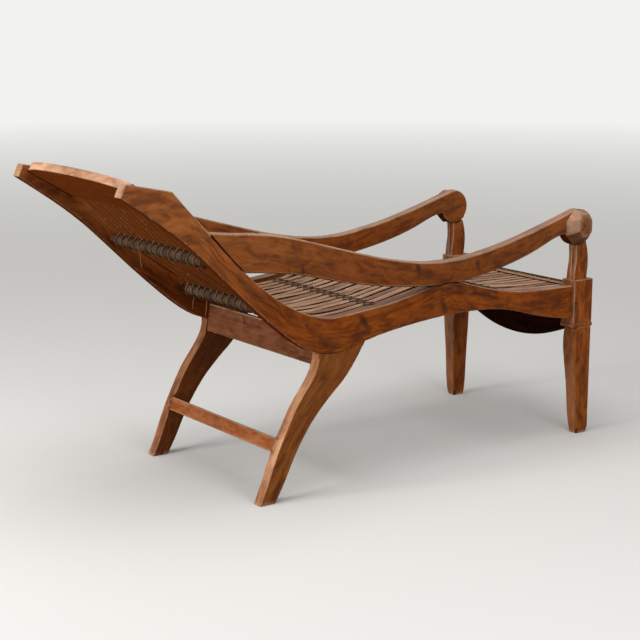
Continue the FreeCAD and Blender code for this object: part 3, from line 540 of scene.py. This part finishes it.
# %% Jute string
# Two strands of thick string go once round each other in nine millimetres
STRANDS = 2
TWIST_LENGTH = 0.009
TWIST_DEPTH = 0.0005
TWIST_STRENGTH = 0.7
# Jute fibres are a tenth of a millimetre thick; their grit is drawn coarser, so that it shows
FIBRE_GRIT = 0.0009
# Soil comes off a gripping hand, so its patches are a few centimetres long
SOIL_PATCH = 0.04
GRITTY = (0.35, 0.65, 0.0, 1.0)
SOILED = (0.40, 0.65, 0.0, 0.6)
IN_THE_GROOVE = (-1.0, 0.4, 0.7, 0.0)
SOIL_BROWN = paint("33241a")
GROOVE_BROWN = paint("281b12")


def jute(name, pale, dark):
    """Grey-brown jute string, two strands twisted together."""
    material = new_finish(name)
    place = add_node(material, "TexCoord", {}).outputs["Object"]
    run = add_node(material, "UVMap", {}, uv_map="string_run")
    turn = add_node(material, "SeparateXYZ", {"Vector": run}).outputs
    slant = {0: turn["Y"], 1: 1 / TWIST_LENGTH, 2: turn["X"]}
    slant = add_node(material, "Math", slant, operation="MULTIPLY_ADD")
    phase = add_node(material, "Math", {0: slant, 1: STRANDS * tau}, operation="MULTIPLY")
    bars = add_node(material, "Math", {0: phase}, operation="SINE")
    grit, soil = (add_node(material, "TexNoise", {"Vector": place, "Scale": 1 / size, "Detail": 3.0})
                  for size in (FIBRE_GRIT, SOIL_PATCH))
    colour = layer(material, paint(pale), paint(dark), (grit, *GRITTY))
    colour = layer(material, colour, SOIL_BROWN, (soil, *SOILED))
    colour = layer(material, colour, GROOVE_BROWN, (bars, *IN_THE_GROOVE))
    relief = {"Height": bars, "Distance": TWIST_DEPTH, "Strength": TWIST_STRENGTH}
    return close_finish(material, {
        "Base Color": colour, "Roughness": 0.9, "Specular IOR Level": 0.05,
        "Normal": add_node(material, "Bump", relief)})


# Spun jute, handled and soiled for years: matt grey brown, darker in the twist
string_jute = jute("weathered_jute_string", "8a6f57", "5e4734")
# The same string where it hangs free and stays clean: straw brown
clean_jute = jute("clean_jute_end", "c2a482", "94785a")
print("twist of the string:", round(TWIST_LENGTH * 1000), "mm")

# %% Rusty iron
# Blisters of rust are about a millimetre across
RUST_SPOTS_PER_METRE = 900.0
RUSTED = (0.38, 0.55)


def rusty_iron(name):
    """Iron with a crust of rust over most of it."""
    material = new_finish(name)
    place = add_node(material, "TexCoord", {}).outputs["Object"]
    spots = {"Vector": place, "Scale": RUST_SPOTS_PER_METRE, "Detail": 4.0}
    crust = add_node(material, "TexNoise", spots)
    return close_finish(material, {
        "Base Color": layer(material, paint("5a5550"), paint("4a2617"), (crust, *RUSTED, 0.0, 1.0)),
        "Roughness": share_of(material, (crust, *RUSTED, 0.45, 0.9)),
        "Metallic": share_of(material, (crust, *RUSTED, 0.9, 0.0))})


# Forged iron, rusted in the damp: brown and matt, with a few grey glints
nail_iron = rusty_iron("rusty_iron_nail")
print("finishes so far:", len(bpy.data.materials))

# %% [markdown]
# A board's edges tell its age. The CAD boards have edges like razors, so each board is copied, its
# coplanar triangles are merged back into whole faces, and its sharp outer edges are bevelled. A
# bevel modifier would round every edge alike, but an edge that lies against another board stays
# crisp, because that is where a joint closes tight: a search tree over the neighbours finds those.
# The bevel's own faces are marked with an attribute called wear, which the teak finish turns pale,
# or with one called seam, which it turns black. The weighted normal modifier then keeps the broad
# faces flat while the light rolls over the edges.

# %% Where one board touches another
SEAM_REACH = 0.0016
BOARDS_WITH_NEIGHBOURS = [name for name in nodes if "lashing" not in name and "tail" not in name]

trees = {}
for name in BOARDS_WITH_NEIGHBOURS:
    tree_mesh = nodes[name].data
    corners = [v.co for v in tree_mesh.vertices]
    trees[name] = BVHTree.FromPolygons(corners, [p.vertices for p in tree_mesh.polygons])


def near_boxes(name):
    """The nodes whose boxes touch a node's box."""
    low, high = (Vector(corner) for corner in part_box(name))
    near = []
    for other in BOARDS_WITH_NEIGHBOURS:
        other_low, other_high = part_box(other)
        apart = any(low[i] > other_high[i] + SEAM_REACH or high[i] < other_low[i] - SEAM_REACH
                    for i in range(3))
        if other != name and not apart:
            near.append(other)
    return near


print("boards with neighbours:", len(BOARDS_WITH_NEIGHBOURS))

# %% Edges in the open and edges in a joint
WELD = 0.00001
FLAT_ANGLE = radians(0.6)
EDGE_ANGLE = radians(28)
SHORTEST_EDGE = 0.0025
TEST_SHARES = (0.1, 0.3, 0.5, 0.7, 0.9)
MOUTH_SHARES = (0.25, 0.5, 0.75)


def merged_board(name):
    """A node's mesh as whole flat faces."""
    board = bmesh.new()
    board.from_mesh(nodes[name].data)
    bmesh.ops.remove_doubles(board, verts=board.verts, dist=WELD)
    bmesh.ops.dissolve_limit(board, angle_limit=FLAT_ANGLE, verts=board.verts, edges=board.edges)
    return board


def sharp_edges(board, name, seam):
    """A board's sharp outer edges, sorted into those in the open and those against a neighbour."""
    near = [trees[other] for other in near_boxes(name)]
    bare = []
    joined = []
    for edge in board.edges:
        if len(edge.link_faces) != 2 or not edge.is_convex or edge.calc_face_angle() < EDGE_ANGLE:
            continue
        if edge.calc_length() < SHORTEST_EDGE or any(face[seam] for face in edge.link_faces):
            continue
        start, end = (v.co for v in edge.verts)
        tests = [start.lerp(end, share) for share in TEST_SHARES]
        touches = sum(any(tree.find_nearest(test, SEAM_REACH)[0] for tree in near) for test in tests)
        (joined if touches > len(tests) / 2 else bare).append(edge)
    return bare, joined


def beside_mouth(edge, mouths, reach):
    """Whether an edge runs so close beside the mouth of a mortise that the wall between is thin."""
    start, end = (v.co for v in edge.verts)
    for test in (start.lerp(end, share) for share in MOUTH_SHARES):
        for mouth in mouths:
            low, high = (v.co for v in mouth.verts)
            place, share = intersect_point_line(test, low, high)
            nearest = low.lerp(high, min(1.0, max(0.0, share)))
            if (test - nearest).length < reach:
                return True
    return False


print("an edge is sharp from", round(degrees(EDGE_ANGLE)), "degrees")

# %% A mesh becomes a piece, and a bevel remembers its age


def show(mesh, name, finish, replaced):
    """A mesh as a piece of the chair that stands for its CAD node."""
    piece = bpy.data.objects.new(name, mesh)
    bpy.context.collection.objects.link(piece)
    mesh.materials.clear()
    mesh.materials.append(finish)
    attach(piece, "root")
    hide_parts(replaced)
    return piece


def bevelled(board, edges, width, steps, layer_of_age, amount):
    """Bevel edges, and note on the bevel's own faces how worn or dirty they are."""
    made = bmesh.ops.bevel(board, geom=edges, offset=width, segments=steps, profile=0.5,
                           affect="EDGES", clamp_overlap=False)
    for face in made["faces"]:
        face[layer_of_age] = amount


# %% A board with worn edges
SEAM_WIDTH = 0.0020
# Beside a mortise, a wall thinner than this many roundings keeps its edge, or it would be cut away
THIN_WALL = 1.8
RUBBED_ANGLE = radians(40)
# A face whose normal points further down than this takes the finish of the underside
UNDER_EDGE = -0.2
board_numbers = itertools.count(1)


def worn_board(name, finish, rounding, steps=2, shape=None, rubbed_side=None, rubbed=1.0,
               rubbed_angle=RUBBED_ANGLE, edge_wear=1.0, seams=True, under=None):
    """Copy a node as a board with worn edges; shape may move its corners first."""
    board = merged_board(name)
    wear = board.faces.layers.float.new("wear")
    seam = board.faces.layers.float.new("seam")
    number = board.faces.layers.float.new("board")
    if shape:
        for corner in board.verts:
            corner.co = shape(corner.co)
    joined = sharp_edges(board, name, seam)[1]
    if seams:
        bevelled(board, joined, min(SEAM_WIDTH, rounding), 1, seam, 1.0)
    bare = sharp_edges(board, name, seam)[0]
    if not seams:
        bare = [edge for edge in bare if not beside_mouth(edge, joined, rounding * THIN_WALL)]
    bevelled(board, bare, rounding, steps, wear, edge_wear)
    # A crease keeps the rim of a joint where it is when the board is smoothed later
    crease = board.edges.layers.float.new("crease_edge")
    this_board = next(board_numbers)
    for face in board.faces:
        face[number] = this_board
        face.smooth = True
        if face[seam]:
            for edge in face.edges:
                edge[crease] = 1.0
        if rubbed_side and face.normal.dot(rubbed_side) > cos(rubbed_angle):
            face[wear] = max(face[wear], rubbed)
    mesh = bpy.data.meshes.new(name + "_worn")
    board.to_mesh(mesh)
    board.free()
    piece = show(mesh, name + "_worn", finish, name)
    if under:
        mesh.materials.append(under)
        for face in mesh.polygons:
            face.material_index = int(face.normal.z < UNDER_EDGE)
    weighted = piece.modifiers.new("flat faces stay flat", "WEIGHTED_NORMAL")
    weighted.keep_sharp = True
    print(piece.name, "edges worn:", len(bare), "faces:", len(mesh.polygons))
    return piece


# %% [markdown]
# Sixteen boards make the frame: two long rails, two arms with their bosses, four legs, and six boards
# across. Each is worn where it is touched, so the edges that face the head end are rubbed bare, and
# so are the backs of the legs, whose pale is also painted light, strong on the near back leg and
# weak on the far one. The far back leg takes a darker copy of the leg finish, which is painted shade.
# A boss is carved to facets, and hands have worn those soft, so a subdivision modifier rounds it
# after its edges are bevelled.

# %% Rails, arms, legs and the boards between them
FRAME_ROUNDING = 0.0028
ARM_ROUNDING = 0.0045
BOSS_ROUNDING = 0.004
# Hands pull on all of a boss's rear half
BOSS_RUBBED_ANGLE = radians(72)
THIN_ROUNDING = 0.0015
# The direction that the top edge of the head board and the rails' upper ends face
HEADWARD = Vector((0, 0.88, 0.475))
# The backs of the legs and bosses are knocked and rubbed, though less than the top edges; on the back
# legs this pale is also painted light, strong on the near leg and weak on the far one
REARWARD = Vector((0, 0.96, 0.28))

# The near back leg's lit back is painted paler than the far leg's shaded one
for side, leg_finish, leg_back_wear_and_light in (("right", leg_teak, 0.8), ("left", shaded_copy_leg_teak, 0.3)):
    worn_board(side + "_side_rail", rail_teak, FRAME_ROUNDING, rubbed_side=HEADWARD,
               under=rail_edge_teak)
    worn_board(side + "_arm", arm_teak, ARM_ROUNDING, steps=3, under=rail_edge_teak)
    worn_board(side + "_back_leg", leg_finish, FRAME_ROUNDING, rubbed_side=REARWARD,
               rubbed=leg_back_wear_and_light, edge_wear=0.7, seams=False)
    worn_board(side + "_front_leg", post_teak, FRAME_ROUNDING, rubbed_side=REARWARD, rubbed=0.4)
    boss = worn_board(side + "_arm_boss", boss_teak, BOSS_ROUNDING, rubbed_side=REARWARD, rubbed=0.5,
                      rubbed_angle=BOSS_RUBBED_ANGLE, edge_wear=0.3)
    softened = boss.modifiers.new("facets worn soft", "SUBSURF")
    softened.levels = 2
    softened.render_levels = 2
worn_board("head_board", head_teak, FRAME_ROUNDING, rubbed_side=HEADWARD)
worn_board("back_leg_cross_rail", cross_teak, FRAME_ROUNDING)
worn_board("back_leg_stretcher", stretcher_teak, FRAME_ROUNDING)
worn_board("front_apron", shaded_apron_teak, FRAME_ROUNDING)
worn_board("slat_ledge", cross_teak, THIN_ROUNDING)
worn_board("slat_batten", slat_teak, THIN_ROUNDING)

# %% [markdown]
# The sixteen slats were split and planed by hand, so no two are alike. Each copy is narrowed and
# swayed a little along its length, and it bows up or down between the rods that hold it. The bow
# fades to nothing at every rod, at the head board and at the foot, because there the slat is tied
# down. Smooth noise with one fixed seed for each slat gives the same chair on every run.

# %% Sixteen slats, no two alike
SLAT_COUNT = 16
SUPPORTS = (0.650, 0.531, 0.304, -0.005, -0.259, -0.521, -0.700, -0.840)
FREE_RUN = 0.06
SWAY = 0.0016
BOW = 0.0075
LEAST_NARROWING = 0.02
MOST_NARROWING = 0.16
USUAL_SHRINK = 0.5
# How far apart two slats lie in the noise, how fast it changes along a slat, and its own plane
BOW_NOISE = (3.1, 4.0, 3.0)
SWAY_NOISE = (5.3, 3.0, 7.0)
SHRINK_NOISE = (9.7, 5.0, 1.0)


def slope_of_bed(run):
    """Rise of the slat bed for each metre towards the head."""
    line = sorted(BED_LINE)
    for (low, low_height), (high, high_height) in zip(line, line[1:]):
        if run <= high:
            return (high_height - low_height) / (high - low)
    return (line[-1][1] - line[-2][1]) / (line[-1][0] - line[-2][0])


def stray(count, run, slat_step, run_step, plane):
    """Smooth noise between -1 and 1 along one slat."""
    return noise.noise((count * slat_step, run * run_step, plane))


def hand_planed(count):
    """The way that one slat strays from its straight, even shape."""
    low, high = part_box(f"slat_{count:02d}")
    middle = (low[0] + high[0]) / 2

    def move(corner):
        run = corner.y
        away = min(abs(run - support) for support in SUPPORTS)
        free = min(1.0, max(0.0, away - FREE_RUN / 2) / FREE_RUN)
        bow = BOW * free * stray(count, run, *BOW_NOISE)
        sway = SWAY * stray(count, run, *SWAY_NOISE)
        shrink = USUAL_SHRINK + stray(count, run, *SHRINK_NOISE)
        width = 1 - LEAST_NARROWING - MOST_NARROWING * min(1.0, max(0.0, shrink))
        tilt = Vector((0, -slope_of_bed(run), 1)).normalized()
        return Vector((middle + (corner.x - middle) * width + sway, run, corner.z)) + tilt * bow

    return move


for count in range(1, SLAT_COUNT + 1):
    slat = worn_board(f"slat_{count:02d}", slat_teak, THIN_ROUNDING, shape=hand_planed(count))

# %% [markdown]
# Five round rods run from rail to rail under the slats. The CAD rods have the right shape, so a rod
# needs no more than a finish and slightly rounded ends, and it is copied as the boards are.

# %% Five rods
for place in ("upper_back", "lower_back", "seat", "hump", "front"):
    rod = worn_board(place + "_rod", rod_wood, THIN_ROUNDING)

# %% [markdown]
# Jute string ties the bed together. On every rod there is a tight whipping, turn against turn, with
# a looser layer over it. Then a doubled string goes round the rod in each gap between two slats and
# crosses over the slat to the next gap, as a spring is bound to a webbing. Each string is a swept
# tube: a ring of corners is carried along a path, and every ring is turned only as much as the path
# turns, so that the tube does not wring. The UV map counts turns round the string and metres along
# it, for the twist in the finish.

# %% A string as a swept tube
STRING_SIDES = 6
# Cutting every corner a quarter of the way along its sides, twice over, makes it round
CORNER_CUT = 0.25


def smoothed(points, rounds=2):
    """A path with its corners cut, round by round."""
    for _ in range(rounds):
        cut = [points[0]]
        for start, end in zip(points, points[1:]):
            cut += [start.lerp(end, CORNER_CUT), start.lerp(end, 1 - CORNER_CUT)]
        points = cut + [points[-1]]
    return points


def lay_string(strings, points, radius):
    """Add one swept string to the corners, faces and UVs of a winding."""
    corners, faces, runs = strings
    first = len(corners)
    side = (points[1] - points[0]).normalized().orthogonal().normalized()
    run = 0.0
    for i, point in enumerate(points):
        if i:
            run += (point - points[i - 1]).length
        after = points[min(i + 1, len(points) - 1)] - points[max(i - 1, 0)]
        side = (side - after * side.dot(after) / after.length_squared).normalized()
        other = after.cross(side).normalized()
        for k in range(STRING_SIDES):
            angle = tau * k / STRING_SIDES
            corners.append(point + (side * cos(angle) + other * sin(angle)) * radius)
        runs.append(run)
    for i in range(len(points) - 1):
        row = first + i * STRING_SIDES
        for k in range(STRING_SIDES):
            beside = (k + 1) % STRING_SIDES
            ahead = row + STRING_SIDES
            faces.append((row + k, row + beside, ahead + beside, ahead + k))
    faces.append(tuple(first + k for k in reversed(range(STRING_SIDES))))
    last = first + (len(points) - 1) * STRING_SIDES
    faces.append(tuple(last + k for k in range(STRING_SIDES)))


def winding(name, strings, replaced):
    """The swept strings as one piece with a UV map of turns and metres."""
    corners, faces, runs = strings
    mesh = bpy.data.meshes.new(name)
    mesh.from_pydata(corners, [], faces)
    uv = mesh.uv_layers.new(name="string_run")
    for face in mesh.polygons:
        face.use_smooth = True
        columns = [mesh.loops[i].vertex_index % STRING_SIDES for i in face.loop_indices]
        wraps = 0 in columns and STRING_SIDES - 1 in columns
        for i, column in zip(face.loop_indices, columns):
            turn = column + STRING_SIDES if wraps and column == 0 else column
            ring = mesh.loops[i].vertex_index // STRING_SIDES
            uv.data[i].uv = (turn / STRING_SIDES, runs[ring])
    mesh.validate()
    piece = show(mesh, name, string_jute, replaced)
    print(name, "corners:", len(corners))
    return piece


# %% Where the string runs
ROD_SLOPES = {"upper_back": 43.6, "lower_back": 27.02, "seat": -6.53, "hump": 3.88, "front": 6.92}
# How much higher than a straight slat the string passes where the slats bend up beside a rod
BEND_LIFTS = {"upper_back": 0.0, "lower_back": 0.0003, "seat": 0.0001, "hump": -0.0004,
              "front": 0.0001}
ROD_RADIUS = 0.011
STRING_RADIUS = 0.00158
TURN_STEPS = 14
ROD_TO_SLAT = 0.0043
SLAT_THICKNESS = 0.007
SLAT_TO_STRING = 0.0022
SLAT_PITCH = 0.03273
FIRST_GAP = -0.26187


def around(centre, along_slat, off_slat, x, angle, radius):
    """A point round a rod; angle 0 is towards the slats."""
    return centre + Vector((x, 0, 0)) + (off_slat * cos(angle) + along_slat * sin(angle)) * radius


print("string width:", round(2000 * STRING_RADIUS, 1), "mm")

# %% The whipping round a rod
WHIPPING_RADIUS = ROD_RADIUS + STRING_RADIUS
WHIPPING_HALF_WIDTH = 0.236
WHIPPING_TAPER = 0.03
# The pitch from turn to turn, how far the turns stand off under the rod, and their own noise
TIGHT_LAYER = (STRING_RADIUS * 2.1, 0.0002, 0)
LOOSE_LAYER = (0.0109, 0.0020, 50)
# How often the turns stray along the rod, and how far, as shares of the stand-off and the pitch
STRAYS_PER_METRE = 160
STRAY_HEIGHT = 0.3
STRAY_PITCH = 0.12


def whipping(centre, along_slat, off_slat, pitch, bulge, seed):
    """A helix round the rod that stands off it on the side away from the slats."""
    points = []
    steps = ceil(2 * WHIPPING_HALF_WIDTH / pitch * TURN_STEPS)
    for i in range(steps + 1):
        angle = tau * i / TURN_STEPS
        x = -WHIPPING_HALF_WIDTH + pitch * i / TURN_STEPS
        wander = noise.noise((x * STRAYS_PER_METRE, seed, 0))
        full = min(1.0, (WHIPPING_HALF_WIDTH - abs(x)) / WHIPPING_TAPER)
        stand_off = bulge * full * (1 - cos(angle)) / 2 * (1 + STRAY_HEIGHT * wander)
        points.append(around(centre, along_slat, off_slat, x + wander * pitch * STRAY_PITCH, angle,
                             WHIPPING_RADIUS + stand_off))
    return points


print("turns in a tight whipping:", round(2 * WHIPPING_HALF_WIDTH / TIGHT_LAYER[0]))

# %% The turns over the slats
# The string comes up beside a slat, crosses it on the slant and goes down on its other side: shares
# of the slat's pitch, of the offset from the rod and of the height
CROSSING = ((0, 1, 0), (0, 1, 0.55), (0, 1, 1), (0.3, 0.4, 1), (0.7, -0.4, 1), (1, -1, 1),
            (1, -1, 0.55), (1, -1, 0))
TURN_OFFSET = 0.0169
UNDER_STEPS = 6


def turns_over_slats(centre, along_slat, off_slat, lift, shift, way):
    """A string round the rod in each gap and across each slat, one way or the other."""
    top = (ROD_RADIUS + ROD_TO_SLAT + SLAT_THICKNESS + SLAT_TO_STRING + lift
           + max(way, 0) * STRING_RADIUS)
    points = []

    def put(x, run, level):
        points.append(centre + Vector((x + shift, 0, 0)) + along_slat * run * way + off_slat * level)

    for count in range(SLAT_COUNT):
        here = FIRST_GAP + SLAT_PITCH * count
        for across, offset, rise in CROSSING:
            put(here + SLAT_PITCH * across, TURN_OFFSET * offset, top * rise)
        if count < SLAT_COUNT - 1:
            for step in range(1, UNDER_STEPS):
                angle = pi * step / UNDER_STEPS
                put(here + SLAT_PITCH, -TURN_OFFSET * cos(angle), -TURN_OFFSET * sin(angle))
    return points


print("points in one crossing:", len(CROSSING))

# %% Five windings
for seed, (place, slope) in enumerate(ROD_SLOPES.items()):
    low, high = (Vector(corner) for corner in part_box(place + "_rod"))
    centre = (low + high) / 2
    along_slat = Vector((0, cos(radians(slope)), sin(radians(slope))))
    off_slat = Vector((0, -sin(radians(slope)), cos(radians(slope))))
    strings = ([], [], [])
    for pitch, bulge, first_seed in (TIGHT_LAYER, LOOSE_LAYER):
        wound = whipping(centre, along_slat, off_slat, pitch, bulge, first_seed + seed)
        lay_string(strings, wound, STRING_RADIUS)
    for way in (-1, 1):
        shift = way * STRING_RADIUS
        over = turns_over_slats(centre, along_slat, off_slat, BEND_LIFTS[place], shift, way)
        lay_string(strings, smoothed(over), STRING_RADIUS)
    winding(place + "_winding", strings, place + "_lashing")

# %% [markdown]
# The loose ends of string were made first, and can now take their finish.
# The nails and the pegs are too small for worn edges of their own: the CAD solids stay, and only
# their material changes.

# %% Loose ends take their finish
for place, tail in tails.items():
    tail.data.materials.append(clean_jute)
    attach(tail, "root")
    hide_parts(place + "_string_tail")
print("loose ends finished:", len(tails))

# %% Nails and pegs
for name, finish in (("batten_nails", nail_iron), ("arm_pegs", rod_wood)):
    nodes[name].data.materials.clear()
    nodes[name].data.materials.append(finish)
    print(name, "in", finish.name)

# %% [markdown]
# A chair like this is best shown on a plain pale ground. The floor is one matt sheet that fades into
# the backdrop with distance, so that no horizon cuts across the chair. What the camera sees of it is
# pale, and what it throws back onto the undersides is as little as a wooden floor would, so they
# stay in soft shadow. Light Path tells the two apart. Three large soft lamps give plain light: one
# overhead, the strongest to the left behind the head end, and a weak one on the camera's side.

# %% Floor and sky
FLOOR_SIZE = 90
FLOOR_FADE = (1.0, 13.0)
SKY_LEVEL = 0.45
FLOOR_AS_SEEN = paint("e6e4e1")
FLOOR_AS_A_REFLECTOR = paint("9c9287")
BACKDROP = paint("f2f2f0")


def seen_share(holder):
    """1 for a ray that shows the background: from the camera, or by way of gloss or glass."""
    rays = add_node(holder, "LightPath", {}).outputs
    gloss = {0: rays["Is Glossy Ray"], 1: rays["Is Transmission Ray"]}
    shiny = add_node(holder, "Math", gloss, operation="MAXIMUM")
    return add_node(holder, "Math", {0: rays["Is Camera Ray"], 1: shiny}, operation="MAXIMUM")


def pale_floor(name):
    """A matt sheet that turns into the backdrop far from the chair."""
    material = new_finish(name)
    seen = seen_share(material)
    place = add_node(material, "TexCoord", {}).outputs["Object"]
    away = add_node(material, "VectorMath", {0: place}, operation="LENGTH")
    ground = layer(material, FLOOR_AS_A_REFLECTOR, FLOOR_AS_SEEN, (seen, *AS_IT_IS))
    ground = layer(material, ground, paint("000000"), (away, *FLOOR_FADE, 0.0, 1.0))
    backdrop = share_of(material, (seen, *AS_IT_IS), (away, *FLOOR_FADE, 0.0, 1.0))
    return close_finish(material, {
        "Base Color": ground, "Roughness": 0.8, "Specular IOR Level": 0.0,
        "Emission Color": BACKDROP, "Emission Strength": backdrop})


half = FLOOR_SIZE / 2
floor_mesh = bpy.data.meshes.new("studio_floor")
floor_mesh.from_pydata([(-half, -half, 0), (half, -half, 0), (half, half, 0), (-half, half, 0)], [],
                       [(0, 1, 2, 3)])
floor_mesh.materials.append(pale_floor("pale_matt_floor"))
floor = bpy.data.objects.new("studio_floor", floor_mesh)
bpy.context.collection.objects.link(floor)

sky = bpy.data.worlds.new("studio_sky")
bpy.context.scene.world = sky
sky.use_nodes = True
background = sky.node_tree.nodes["Background"]
background.inputs["Color"].default_value = BACKDROP
level = share_of(sky, (seen_share(sky), 0.0, 1.0, SKY_LEVEL, 1.0))
sky.node_tree.links.new(level.outputs[0], background.inputs["Strength"])
print("floor fades from", FLOOR_FADE[0], "to", FLOOR_FADE[1], "m")

# %% Three soft lamps


def lamp(name, place, size, power):
    """A square soft lamp aimed at the middle of the chair; size in metres, power in watts."""
    data = bpy.data.lights.new(name, "AREA")
    data.size = size
    data.energy = power
    made = bpy.data.objects.new(name, data)
    bpy.context.collection.objects.link(made)
    made.location = place
    made.rotation_euler = (CHAIR_MIDDLE - Vector(place)).to_track_quat("-Z", "Y").to_euler()


lamp("overhead_softbox", (-0.3, 0.5, 3.4), 2.6, 45)
lamp("left_softbox", (0.3, 5.2, 1.8), 2.2, 210)
lamp("camera_side_softbox", (-4.0, 0.2, 1.6), 1.8, 42)
print("lamps:", [made.name for made in bpy.data.lights])

# %% [markdown]
# A dressed chair must be as large as the bare one, or it wouldn't fit where its maker measured. Here
# the scene is brought up to date.

# %% The scene brought up to date
bpy.context.view_layer.update()
